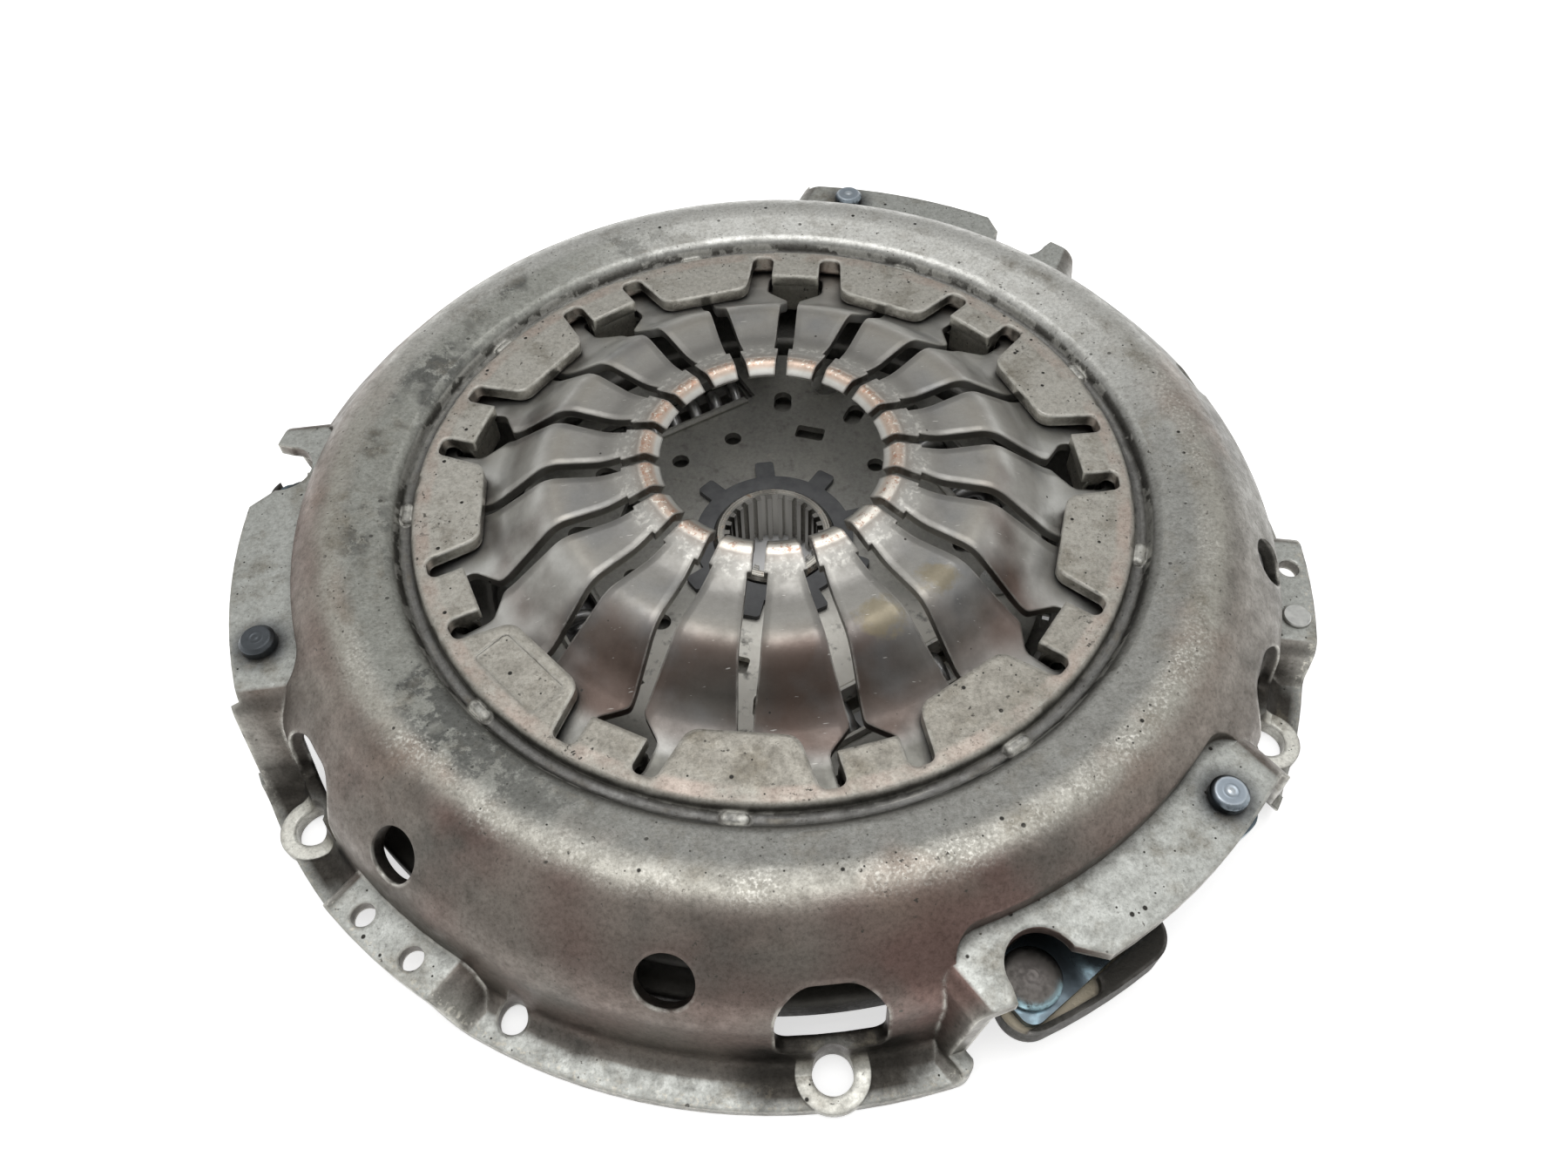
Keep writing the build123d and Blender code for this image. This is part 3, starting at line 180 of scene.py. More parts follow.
def axis_reach(tree, place):
    """Place and distance from the clutch axis, in millimetres."""
    sized = add_node(tree, "ShaderNodeVectorMath", {0: place.outputs["Object"], "Scale": 1 / MM},
                     operation="SCALE")
    flat = add_node(tree, "ShaderNodeVectorMath", {0: sized.outputs[0], 1: (1, 1, 0)}, operation="MULTIPLY")
    return sized.outputs[0], length(tree, flat.outputs[0])


def height_above(tree, sized):
    """Height above the flange face, in millimetres."""
    return add_node(tree, "ShaderNodeSeparateXYZ", {0: sized}).outputs[2]


def by_distance(tree, distance, stops):
    """Colour that changes with a distance; the stops are in millimetres."""
    low, high = stops[0][0], stops[-1][0]
    share = ranged(tree, distance, low, high)
    return ramped(tree, share, [((at - low) / (high - low), code) for at, code in stops])


def between(tree, value, low, high, soft):
    """1 where a value lies between two limits, with soft edges."""
    rise = ranged(tree, value, low - soft, low + soft, step="SMOOTHSTEP")
    fall = ranged(tree, value, high - soft, high + soft, 1.0, 0.0, "SMOOTHSTEP")
    return calc(tree, "MULTIPLY", rise, fall)


def all_of(tree, *shares):
    """Product of several shares."""
    result = shares[0]
    for share in shares[1:]:
        result = calc(tree, "MULTIPLY", result, share)
    return result


def tinted(tree, colour, share, code, blend="MIX"):
    """Colour changed towards a hex code, or towards another colour, by a share."""
    other = linear(code) if isinstance(code, str) else code
    return add_node(tree, "ShaderNodeMix", {0: share, 6: colour, 7: other},
                    data_type="RGBA", blend_type=blend).outputs[2]


def toned(tree, colour, strength, share, stops):
    """Colour multiplied by a pattern's own colours, at a strength."""
    return tinted(tree, colour, strength, ramped(tree, share, stops), "MULTIPLY")


def patches(tree, place, size, low, high, detail=5.0, rough=0.6):
    """Cloudy patches of a size in millimetres, 0 to 1 between two noise levels."""
    return ranged(tree, clouds(tree, place.outputs["Object"], size, detail, rough), low, high)


def pits(tree, place, spacing, size, most):
    """Small round pits: spacing and size in millimetres, most is the share of cells left plain."""
    cell = add_node(tree, "ShaderNodeTexVoronoi", {
        "Vector": place.outputs["Object"], "Scale": per_mm(spacing)})
    dot = ranged(tree, cell.outputs["Distance"], 0.5 * size / spacing, 0.7 * size / spacing, 1.0, 0.0)
    pick = add_node(tree, "ShaderNodeSeparateColor", {0: cell.outputs["Color"]})
    return all_of(tree, dot, calc(tree, "GREATER_THAN", pick.outputs[0], most))


def facing(tree, place):
    """1 on faces that look straight along the clutch axis."""
    return ranged(tree, along(tree, place.outputs["Normal"], (0, 0, 1)), 0.965, 0.995)


def rounded_edges(tree, radius):
    """Normal with edges rounded by a radius in millimetres."""
    return add_node(tree, "ShaderNodeBevel", {"Radius": radius * MM}, samples=4).outputs[0]


def on_edges(tree, normal):
    """Share that is 1 where the rounded normal leaves the plain one, so on edges."""
    plain = add_node(tree, "ShaderNodeNewGeometry")
    return ranged(tree, along(tree, normal, plain.outputs["Normal"]), 0.99, 0.86)


def corners(tree, reach):
    """Share that is 1 in corners and recesses, where dirt stays and shade is painted, within a distance in
    millimetres.
    """
    shade = add_node(tree, "ShaderNodeAmbientOcclusion", {"Distance": reach * MM}, samples=6)
    return ranged(tree, shade.outputs["AO"], 0.75, 0.3)


def relief(tree, surface, height, depth, strength=1.0, base=None):
    """Bump of a depth in millimetres, on the plain normal or on rounded edges."""
    inputs = {"Height": height, "Distance": depth * MM, "Strength": strength}
    if base:
        inputs["Normal"] = base
    bump = add_node(tree, "ShaderNodeBump", inputs)
    tree.links.new(bump.outputs[0], surface.inputs["Normal"])


def uneven(tree, surface, share, low, high):
    """Roughness that runs from low to high with a share."""
    tree.links.new(ranged(tree, share, 0.0, 1.0, low, high), surface.inputs["Roughness"])


def spot_reach(tree, sized, reach, count, ring, first):
    """Distance from the nearest of several spots that stand evenly on a circle, in millimetres."""
    turn = add_node(tree, "ShaderNodeTexGradient", {0: sized}, gradient_type="RADIAL").outputs[1]
    offset = 0.5 - count * (first / 360.0 + 0.5)
    part = calc(tree, "FRACT", calc(tree, "MULTIPLY_ADD", turn, float(count), offset))
    angle = calc(tree, "MULTIPLY_ADD", part, 2 * math.pi / count, -math.pi / count)
    outward = calc(tree, "MULTIPLY", calc(tree, "COSINE", angle), reach)
    aside = calc(tree, "MULTIPLY", calc(tree, "SINE", angle), reach)
    spot = vector(tree, calc(tree, "SUBTRACT", outward, ring), aside)
    return length(tree, spot)


def from_slots(tree, sized, reach, count, half):
    """Distance from the edge of the nearest radial slot, in millimetres, with slots evenly round the axis."""
    turn = add_node(tree, "ShaderNodeTexGradient", {0: sized}, gradient_type="RADIAL").outputs[1]
    arc = calc(tree, "MULTIPLY", calc(tree, "PINGPONG", turn, 0.5 / count), 2 * math.pi)
    return calc(tree, "SUBTRACT", calc(tree, "MULTIPLY", arc, reach), half)


def leaning(tree, sized, direction, low, high):
    """Share that rises from 0 to 1 across the clutch in a direction, between two distances."""
    return ranged(tree, along(tree, sized, direction), low, high, step="SMOOTHSTEP")


# ---------------------------------------------------------------- finishes
def deep_drawn_steel():
    """Deep-drawn mild steel: a grey-brown drawn skin, worn bright where the press and handling rub."""
    material, tree, surface, place = new_finish("deep_drawn_steel", 1.0, 0.4)
    sized, reach = axis_reach(tree, place)
    height = height_above(tree, sized)
    up = facing(tree, place)
    normal = rounded_edges(tree, 1.5)
    # the drawn skin goes from pale steel on the crown over a bright shoulder to a brown wall; the shoulder's
    # brightness is partly a painted highlight and the wall's darkness partly painted shade
    colour = by_distance(tree, reach, [
        (74, "#b3afa6"), (86, "#aaa69d"), (92.6, "#b0ada5"), (94, "#8c8c8b"), (97.4, "#9a9a98"),
        (98.6, "#aaaaa6"), (106, "#a6a6a2"), (109, "#b6b4ad"), (113.5, "#c6c3ba"), (118, "#a9a199"),
        (124, "#8b847d"), (131, "#87807a"), (136.5, "#827a73"), (139, "#928d87"), (146, "#aeada7"),
    ])
    # furnace tints on the wall: pink and violet brown in front; to the right and behind the wall is a lighter
    # plain grey, partly painted light on that side
    wall = between(tree, reach, 115, 138, 3)
    lit_side_grey = all_of(tree, wall, leaning(tree, sized, (0.75, 0.66, 0), 10, 110))
    colour = tinted(tree, colour, lit_side_grey, "#a3a29d")
    pink = all_of(tree, patches(tree, place, 46, 0.42, 0.66, 2), wall,
                  leaning(tree, sized, (-0.45, -0.89, 0), 10, 100))
    colour = tinted(tree, colour, pink, "#856f69")
    cool = all_of(tree, patches(tree, place, 28, 0.5, 0.75, 3), wall)
    colour = tinted(tree, colour, cool, "#77746f")
    warm = all_of(tree, patches(tree, place, 34, 0.5, 0.7, 3), between(tree, reach, 106, 120, 5))
    colour = tinted(tree, colour, warm, "#a8968a")
    # painted light: the far side of the dome and of the crown is lighter
    far_dome_light = all_of(tree, between(tree, reach, 97.5, 119, 1.5), leaning(tree, sized, (0.1, 0.99, 0), -10, 90))
    colour = tinted(tree, colour, far_dome_light, "#e4e4e0")
    far_crown_light = all_of(tree, between(tree, reach, 60, 93.5, 0.5), leaning(tree, sized, (0, 1, 0), -85, 20))
    colour = tinted(tree, colour, far_crown_light, "#cfccc4")
    # soft grey oxide left on one side of the dome, eaten into by paler steel
    left_dome = all_of(tree, between(tree, reach, 97, 109, 2.5),
                       leaning(tree, sized, (-0.99, 0.1, 0), 15, 75))
    oxide = all_of(tree, patches(tree, place, 26, 0.44, 0.5, 3), patches(tree, place, 9, 0.45, 0.5, 12, 0.78),
                   left_dome)
    colour = tinted(tree, colour, left_dome, "#a5a6a0")
    colour = tinted(tree, colour, oxide, "#797a77")
    # horizontal faces outside the dome are plain silver, partly rubbed steel and partly a painted highlight
    # on faces turned up to the light, and the cut edge is torn bright
    silver = all_of(tree, up, ranged(tree, reach, PAD_FOLD_R - 0.6, PAD_FOLD_R + 0.4))
    colour = tinted(tree, colour, silver, "#cbcdc9")
    torn = all_of(tree, patches(tree, place, 1.2, 0.54, 0.6, 5), between(tree, reach, 143.5, 150, 1.0))
    colour = tinted(tree, colour, torn, "#dcd9cf")
    # soot lies on the low faces; a painted shadow lies round the bolts under the wall's arches, and the bolt
    # seats are machined bright with painted shadow on their inner side
    low = ranged(tree, height, 5.0, 8.0, 1.0, 0.0)
    soot = all_of(tree, patches(tree, place, 24, 0.46, 0.6, 6), between(tree, reach, 120, 141.5, 1.5), low)
    colour = tinted(tree, colour, soot, "#6a6763")
    bolt = spot_reach(tree, sized, reach, *BOLT_HOLES)
    arch_shadow = all_of(tree, between(tree, bolt, 2.0, 20.0, 6.0), ranged(tree, height, 12.0, 17.0, 1.0, 0.0),
                  ranged(tree, reach, 143.0, 146.0, 1.0, 0.25))
    colour = tinted(tree, colour, arch_shadow, "#4a4743")
    seat = all_of(tree, between(tree, bolt, 3.0, 8.2, 0.2), low)
    machined_seat_and_shadow = by_distance(tree, reach, [(134, "#4f4c48"), (137, "#b3b0a7"), (139.5, "#fbfaf2")])
    colour = tinted(tree, colour, seat, machined_seat_and_shadow)
    # painted contact shadow round the cover rivets on the silver faces
    rivet = spot_reach(tree, sized, reach, *COVER_RIVETS)
    rivet_shadow = all_of(tree, between(tree, rivet, 0.0, 7.0, 3.0), silver)
    colour = tinted(tree, colour, rivet_shadow, "#707375")
    stain = all_of(tree, patches(tree, place, 13, 0.52, 0.76, 7, 0.68), up)
    colour = tinted(tree, colour, stain, "#8d8678")
    # grime and painted shade darken the folds, round the rivets and under the lugs
    grime_and_shade = all_of(tree, corners(tree, 8), patches(tree, place, 5, 0.1, 0.45, 5))
    colour = tinted(tree, colour, grime_and_shade, "#4c4843")
    # the crown's rolled rim is pinkish, and the crown has dark scale pits
    rolled = all_of(tree, between(tree, reach, 88.5, 92.2, 0.8), patches(tree, place, 9, 0.35, 0.65, 4))
    colour = tinted(tree, colour, rolled, "#cdbfb5")
    scale = all_of(tree, patches(tree, place, 1.2, 0.58, 0.63, 4), patches(tree, place, 22, 0.55, 0.65, 3),
                   between(tree, reach, 84, 92, 1))
    colour = tinted(tree, colour, scale, "#454340")
    # the groove is dark, with a bright line and bright coined bumps that are partly rubbed steel and partly
    # painted highlights
    line = all_of(tree, between(tree, reach, 96.5, 97.5, 0.2), patches(tree, place, 9, 0.48, 0.52, 6))
    colour = tinted(tree, colour, line, "#e6e6e2")
    bumps = all_of(tree, between(tree, reach, *GROOVE_R, 0.3), between(tree, height, 38.7, 40.2, 0.15),
                   patches(tree, place, 2.5, 0.3, 0.5, 4))
    colour = tinted(tree, colour, bumps, "#d2d1cb")
    # open grain of the sheet (coarser than the real one, which is too fine to see from here), fine painted
    # glints of light on the front of the shoulder, and small black pits on the flat faces
    grain = patches(tree, place, 1.0, 0.3, 0.7, 5, 0.75)
    colour = toned(tree, colour, 0.6, grain, [(0.0, "#8f8e8b"), (0.5, "#dcdcda"), (1.0, "#ffffff")])
    mottle = patches(tree, place, 4.5, 0.35, 0.7, 6, 0.7)
    colour = toned(tree, colour, 0.35, mottle, [(0.0, "#ffffff"), (1.0, "#9b9690")])
    glint = ranged(tree, clouds(tree, place.outputs["Object"], 0.8, 4.0), 0.5, 0.66, 0.0, 0.8)
    painted_glints = all_of(tree, glint, between(tree, reach, 108.5, 115, 3.5), patches(tree, place, 16, 0.4, 0.65, 4),
                   leaning(tree, sized, (0.3, -0.95, 0), -60, 60))
    colour = tinted(tree, colour, painted_glints, "#eeece4")
    dots = all_of(tree, pits(tree, place, 5.0, 0.85, 0.5), up)
    fine = all_of(tree, pits(tree, place, 2.3, 0.42, 0.6), up)
    colour = tinted(tree, colour, calc(tree, "MAXIMUM", dots, fine), "#3a3936")
    fleck = all_of(tree, patches(tree, place, 1.5, 0.66, 0.7, 3), patches(tree, place, 12, 0.42, 0.6, 3))
    colour = tinted(tree, colour, fleck, "#55524d")
    # edges are rubbed bright, but not in the painted shadow round the bolts and not round the windows in the
    # wall
    hidden = calc(tree, "MAXIMUM", arch_shadow, between(tree, reach, 110, 131, 2))
    worn = all_of(tree, on_edges(tree, normal), patches(tree, place, 3.5, 0.36, 0.56, 5),
                  calc(tree, "SUBTRACT", 1.0, hidden))
    colour = tinted(tree, colour, worn, "#dddbd3")
    painted(tree, surface, colour)
    uneven(tree, surface, calc(tree, "MAXIMUM", mottle, oxide), 0.32, 0.55)
    relief(tree, surface, calc(tree, "MULTIPLY_ADD", dots, -3.0, grain), 0.06, 0.5, normal)
    return material


def tempered_spring_steel():
    """Oil-tempered spring steel: smooth and grey, with coppery wear where the release bearing runs."""
    material, tree, surface, place = new_finish("tempered_spring_steel", 1.0, 0.4)
    sized, reach = axis_reach(tree, place)
    normal = rounded_edges(tree, 0.9)
    # the tones along the fingers hold painted light: the bright crest and the hump near 56 mm are painted
    # highlights, the dark band from 62 to 67 mm painted shade on the steep slope
    colour = by_distance(tree, reach, [
        (28, "#bfbeba"), (29.6, "#d5d3cd"), (30.4, "#cdbaab"), (32.9, "#c4b0a1"), (33.4, "#dad2c9"),
        (34.2, "#a8a29b"), (36.4, "#b0aea9"), (40.5, "#a5a39e"), (44, "#95938f"), (51, "#a09e99"),
        (56, "#aba79f"), (58.5, "#918b83"), (62, "#68625d"), (67, "#5f5a55"), (71, "#736e69"),
        (75, "#a8a5a1"), (79, "#cac9c5"), (86, "#d8d8d5"), (108, "#dcdcda"),
    ])
    # painted light: away from the front the fingers' outer parts are lighter
    far_side_light = all_of(tree, between(tree, reach, 58, 112, 4), leaning(tree, sized, (0, 1, 0), -75, -25))
    colour = tinted(tree, colour, far_side_light, "#e2e2de")
    # brown and violet temper colours over the shoulder of the fingers, deepest in front
    near = all_of(tree, between(tree, reach, 57, 80, 4), leaning(tree, sized, (0, -1, 0), 25, 60),
                  patches(tree, place, 34, 0.4, 0.6, 2))
    colour = tinted(tree, colour, near, "#73645d")
    # painted shade on the outer ends of the front fingers
    shaded = all_of(tree, between(tree, reach, 81, 96, 2), leaning(tree, sized, (0, -1, 0), 50, 75))
    colour = tinted(tree, colour, shaded, "#83827c")
    temper = all_of(tree, patches(tree, place, 30, 0.5, 0.7, 2), between(tree, reach, 56, 78, 6))
    colour = tinted(tree, colour, temper, "#80716a")
    cool = all_of(tree, patches(tree, place, 24, 0.5, 0.75, 3), between(tree, reach, 42, 72, 5))
    colour = tinted(tree, colour, cool, "#8b8c8d")
    # painted shade on the steep slope of the fingers, except at the back
    slope_shade = all_of(tree, between(tree, reach, 60.5, 69.5, 2.5), leaning(tree, sized, (0, -1, 0), -55, -10))
    colour = tinted(tree, colour, slope_shade, "#c6c4c2", "MULTIPLY")
    # copper-coloured wear on the crest, a painted highlight on the front crests, bright rubbed steel beside
    # it that is partly a painted highlight of the ridge, darker towards the slots
    front_crest_highlight = all_of(tree, between(tree, reach, 29.4, 33.6, 0.4),
                      leaning(tree, sized, (0.25, -0.97, 0), 14, 28))
    colour = tinted(tree, colour, front_crest_highlight, "#f6f1e7")
    copper = all_of(tree, between(tree, reach, 30.6, 33.6, 0.3),
                    patches(tree, place, 2.0, 0.52, 0.58, 6, 0.8))
    colour = tinted(tree, colour, copper, "#bf9a86")
    lit = all_of(tree, between(tree, reach, 30.8, 33.8, 0.3), patches(tree, place, 1.1, 0.56, 0.62, 5))
    colour = tinted(tree, colour, lit, "#f1ebe0")
    bare = all_of(tree, between(tree, reach, 34.8, 39.8, 1.2), patches(tree, place, 1.4, 0.5, 0.64, 6))
    colour = tinted(tree, colour, bare, "#d0cec8")
    flank = all_of(tree, ranged(tree, from_slots(tree, sized, reach, FINGERS, 1.0), 0.2, 1.1, 1.0, 0.0),
                   between(tree, reach, 27, 36, 1.0))
    colour = tinted(tree, colour, flank, "#6b645e")
    # two tan stains of dried oil
    for spot, size in (((35.1, -42.0, 50.2), 7.5), ((20.3, -51.9, 50.5), 8.5)):
        away = add_node(tree, "ShaderNodeVectorMath", {0: sized, 1: spot}, operation="DISTANCE")
        cloud = patches(tree, place, 5, 0.2, 0.8, 6, 0.7)
        ragged = calc(tree, "MULTIPLY_ADD", cloud, 8.0, away.outputs["Value"])
        colour = tinted(tree, colour, ranged(tree, ragged, size - 1.0, size + 1.6, 0.75, 0.0), "#948a72")
    # dull film and dust, short bright scratches, a few pits, grime and painted shade in the corners, and
    # rubbed edges
    dust = patches(tree, place, 7, 0.36, 0.7, 7, 0.7)
    colour = toned(tree, colour, 0.28, dust, [(0.0, "#ffffff"), (1.0, "#8f8a84")])
    drawn = add_node(tree, "ShaderNodeMapping", {
        0: place.outputs["Object"], 2: (0, 0, 0.7), 3: (1.0, 6.0, 1.0)})
    scratches = ranged(tree, clouds(tree, drawn.outputs[0], 3.2, 2.0), 0.72, 0.76, 0.0, 0.7)
    colour = tinted(tree, colour, scratches, "#d6d4cf")
    colour = tinted(tree, colour, pits(tree, place, 6.0, 0.55, 0.66), "#454340")
    grime_and_shade = all_of(tree, corners(tree, 4), between(tree, reach, 60, 110, 4))
    colour = tinted(tree, colour, grime_and_shade, "#8f8c89")
    worn = all_of(tree, on_edges(tree, normal), patches(tree, place, 4, 0.3, 0.6, 4))
    colour = tinted(tree, colour, worn, "#c9c6c0")
    painted(tree, surface, colour)
    uneven(tree, surface, dust, 0.34, 0.52)
    # the fingers are lightly brushed and rounded towards their slots
    brushed = patches(tree, place, 1.2, 0.25, 0.75, 6, 0.7)
    crowned = ranged(tree, from_slots(tree, sized, reach, FINGERS, 1.9), -0.6, 2.6, 0.0, 0.6, "SMOOTHSTEP")
    domed = all_of(tree, crowned, between(tree, reach, 38, 78, 4))
    relief(tree, surface, calc(tree, "MULTIPLY_ADD", brushed, 0.02, domed), 1.0, 1.0, normal)
    return material


def grey_cast_iron():
    """Grey cast iron: blackened as cast, bright where the strap seats and the friction face are machined."""
    material, tree, surface, place = new_finish("grey_cast_iron", 0.9, 0.6)
    sized, reach = axis_reach(tree, place)
    height = height_above(tree, sized)
    grain = patches(tree, place, 1.1, 0.3, 0.7, 5, 0.7)
    colour = by_distance(tree, height, [(8, "#a9a7a2"), (9.1, "#a29f99"), (9.6, "#9b9995"), (30, "#92908c")])
    colour = tinted(tree, colour, between(tree, reach, 122, 150, 2.5), "#45433f")
    seat = all_of(tree, between(tree, height, 15.2, 15.9, 0.1), facing(tree, place))
    colour = tinted(tree, colour, seat, "#c6bca8")
    colour = toned(tree, colour, 0.4, grain, [(0.0, "#8a8a88"), (1.0, "#ffffff")])
    normal = rounded_edges(tree, 1.6)
    # the ear's edges are lighter: partly rubbed, partly a painted highlight on its rim
    rim_wear_and_highlight = all_of(tree, on_edges(tree, normal), between(tree, reach, 124, 150, 1.0),
                    patches(tree, place, 4, 0.35, 0.6, 4))
    painted(tree, surface, tinted(tree, colour, rim_wear_and_highlight, "#8d8a86"))
    uneven(tree, surface, grain, 0.42, 0.7)
    relief(tree, surface, grain, 0.12, 0.6, normal)
    return material


def blued_strap_steel():
    """Blued spring strip: a dark blue-grey film that turns pale blue where light strikes it."""
    material, tree, surface, place = new_finish("blued_strap_steel", 1.0, 0.3)
    bloom = patches(tree, place, 9, 0.35, 0.68, 3)
    painted(tree, surface, ramped(tree, bloom, [(0.0, "#4d555b"), (0.55, "#66737b"), (1.0, "#9bb6c2")]))
    uneven(tree, surface, bloom, 0.34, 0.22)
    relief(tree, surface, patches(tree, place, 0.7, 0.3, 0.7), 0.02, 0.3)
    return material


def headed_rivet_steel(name, ring, stops, highlight_colour, dent, soft):
    """Cold-headed rivet, blued or blackened: dimpled by the heading tool, with a painted highlight on its
    front edge.
    """
    material, tree, surface, place = new_finish(name, 1.0, 0.35)
    sized, reach = axis_reach(tree, place)
    centre = spot_reach(tree, sized, reach, *ring)
    normal = rounded_edges(tree, soft)
    front_highlight = ranged(tree, along(tree, normal, (0.18, -0.78, 0.6)), 0.66, 0.78)
    colour = tinted(tree, by_distance(tree, centre, stops),
                    all_of(tree, front_highlight, patches(tree, place, 1.2, 0.3, 0.5, 5)), highlight_colour)
    # painted shade: the rivets on the left side are darker
    painted(tree, surface, tinted(tree, colour, leaning(tree, sized, (-1, 0, 0), 20, 90), "#565a5e"))
    uneven(tree, surface, patches(tree, place, 1.4, 0.42, 0.7, 4), 0.28, 0.5)
    rings = calc(tree, "COSINE", calc(tree, "MULTIPLY", centre, 3.6))
    relief(tree, surface, all_of(tree, rings, between(tree, centre, -1.0, 1.7, 0.3)), dent, 0.5, normal)
    return material


def cloudy_metal(name, size, levels, bare, filmed, rough):
    """Metal with a cloudy film that changes its colour and its roughness."""
    material, tree, surface, place = new_finish(name, 1.0, rough[0])
    film = patches(tree, place, size, *levels, 4)
    painted(tree, surface, ramped(tree, film, [(0.0, bare), (1.0, filmed)]))
    uneven(tree, surface, film, *rough)
    return material


def zinc_plated_steel():
    """Bright zinc plate: pale, slightly cloudy and smooth."""
    return cloudy_metal("zinc_plated_steel", 3.0, (0.3, 0.7), "#b5b6b4", "#d6d6d2", (0.26, 0.42))


def drawn_brass():
    """Drawn brass rivets: warm yellow with a dull brown film in the hollows."""
    return cloudy_metal("drawn_brass", 1.5, (0.4, 0.7), "#c2a25a", "#8f7744", (0.28, 0.5))


def oil_hardened_wire():
    """Oil-hardened spring wire: smooth and dark grey, a little paler where the turns rub."""
    return cloudy_metal("oil_hardened_wire", 3.0, (0.35, 0.7), "#a9a9aa", "#c6c5c3", (0.3, 0.5))


def phosphated_sheet_steel():
    """Phosphated sheet steel: an even grey coat with a fine dry grain and a few rubbed spots."""
    material, tree, surface, place = new_finish("phosphated_sheet_steel", 0.75, 0.5)
    sized, reach = axis_reach(tree, place)
    grain = patches(tree, place, 1.0, 0.3, 0.7, 5, 0.7)
    colour = ramped(tree, patches(tree, place, 18, 0.35, 0.7, 4), [(0.0, "#aeada8"), (1.0, "#bab8b1")])
    colour = toned(tree, colour, 0.45, grain, [(0.0, "#8c8c8a"), (1.0, "#ffffff")])
    colour = tinted(tree, colour, patches(tree, place, 7, 0.66, 0.74, 5), "#b9b6ae")
    # painted light on the front part of the disc, near the hub
    near = all_of(tree, leaning(tree, sized, (0, -1, 0), 18, 34), between(tree, reach, 24, 66, 4))
    colour = tinted(tree, colour, near, "#e9e6de")
    painted(tree, surface, tinted(tree, colour, patches(tree, place, 3.4, 0.56, 0.72, 6), "#8b8984"))
    uneven(tree, surface, grain, 0.4, 0.62)
    relief(tree, surface, grain, 0.05, 0.4)
    return material


def machined_hub_steel():
    """Turned and broached steel: bright, with fine turning rings on the faces and a touch of rust."""
    material, tree, surface, place = new_finish("machined_hub_steel", 1.0, 0.3)
    _, reach = axis_reach(tree, place)
    colour = by_distance(tree, reach, [
        (11.5, "#95938f"), (13.8, "#a5a39e"), (14.4, "#cfcbc2"), (17, "#c3bfb6"), (18.5, "#9a9893"),
        (24, "#95938e"),
    ])
    rust = all_of(tree, patches(tree, place, 2.4, 0.56, 0.66, 6), between(tree, reach, 14, 30, 0.4))
    painted(tree, surface, tinted(tree, colour, rust, "#a08f7e"))
    uneven(tree, surface, rust, 0.26, 0.5)
    # real turning rings stand about 0.2 mm apart; they are drawn 0.7 mm apart so that they show
    rings = calc(tree, "SINE", calc(tree, "MULTIPLY", reach, 9.0))
    relief(tree, surface, rings, 0.02, 0.4)
    return material


def moulded_friction_lining():
    """Moulded organic lining: brown-black resin with short glass fibre and brass chips."""
    material, tree, surface, place = new_finish("moulded_friction_lining", 0.0, 0.85)
    fibre = clouds(tree, place.outputs["Object"], 1.6, 6.0, 0.75)
    colour = ramped(tree, fibre, [(0.25, "#3f3a34"), (0.5, "#5a5147"), (0.75, "#7d7263")])
    chips = pits(tree, place, 1.8, 0.5, 0.6)
    painted(tree, surface, tinted(tree, colour, chips, "#a88f5c"))
    tree.links.new(chips, surface.inputs["Metallic"])
    relief(tree, surface, fibre, 0.15, 0.5)
    return material


def glass_filled_nylon():
    """Moulded glass-filled nylon: matt black with a faint mottle and grey dust."""
    material, tree, surface, place = new_finish("glass_filled_nylon", 0.0, 0.55)
    dust = patches(tree, place, 4.0, 0.35, 0.75, 6)
    painted(tree, surface, ramped(tree, dust, [(0.0, "#505153"), (1.0, "#68696a")]))
    uneven(tree, surface, dust, 0.48, 0.72)
    relief(tree, surface, patches(tree, place, 0.6, 0.3, 0.7), 0.04, 0.4)
    return material


# ---------------------------------------------------------------- settings
class ClutchSpringSettings(bpy.types.PropertyGroup):
    """Sizes of the springs and of the rim that are built here."""

    coil_wire: FloatProperty(name="Wire Radius", description="Radius of the damper coil wire",
                             default=0.0018, unit="LENGTH")
    coil_radius: FloatProperty(name="Coil Radius", default=0.0054, unit="LENGTH",
                               description="Radius of a damper coil at the middle of its wire")
    coil_length: FloatProperty(name="Coil Length", description="Length of a damper coil in its window",
                               default=0.046, unit="LENGTH")
    coil_turns: FloatProperty(name="Turns", description="Turns in a damper coil", default=6.0)
    coil_seat: FloatProperty(name="Seat Radius", default=0.0576, unit="LENGTH",
                             description="Distance of the damper coils from the clutch axis")
    coil_height: FloatProperty(name="Height", description="Height of the damper coils above the flange face",
                               default=0.00855, unit="LENGTH")
    coil_count: IntProperty(name="Coils", description="Number of damper coils", default=4, min=1)
    strap_packs: IntProperty(name="Strap Packs", description="Packs of drive straps round the cover",
                             default=3, min=1)
    rim_radius: FloatProperty(name="Rim Radius", description="Outer radius of the pressure plate's rim",
                              default=0.128, unit="LENGTH")
    rim_thickness: FloatProperty(name="Rim Thickness", description="Thickness of the pressure plate's rim",
                                 default=0.0094, unit="LENGTH")


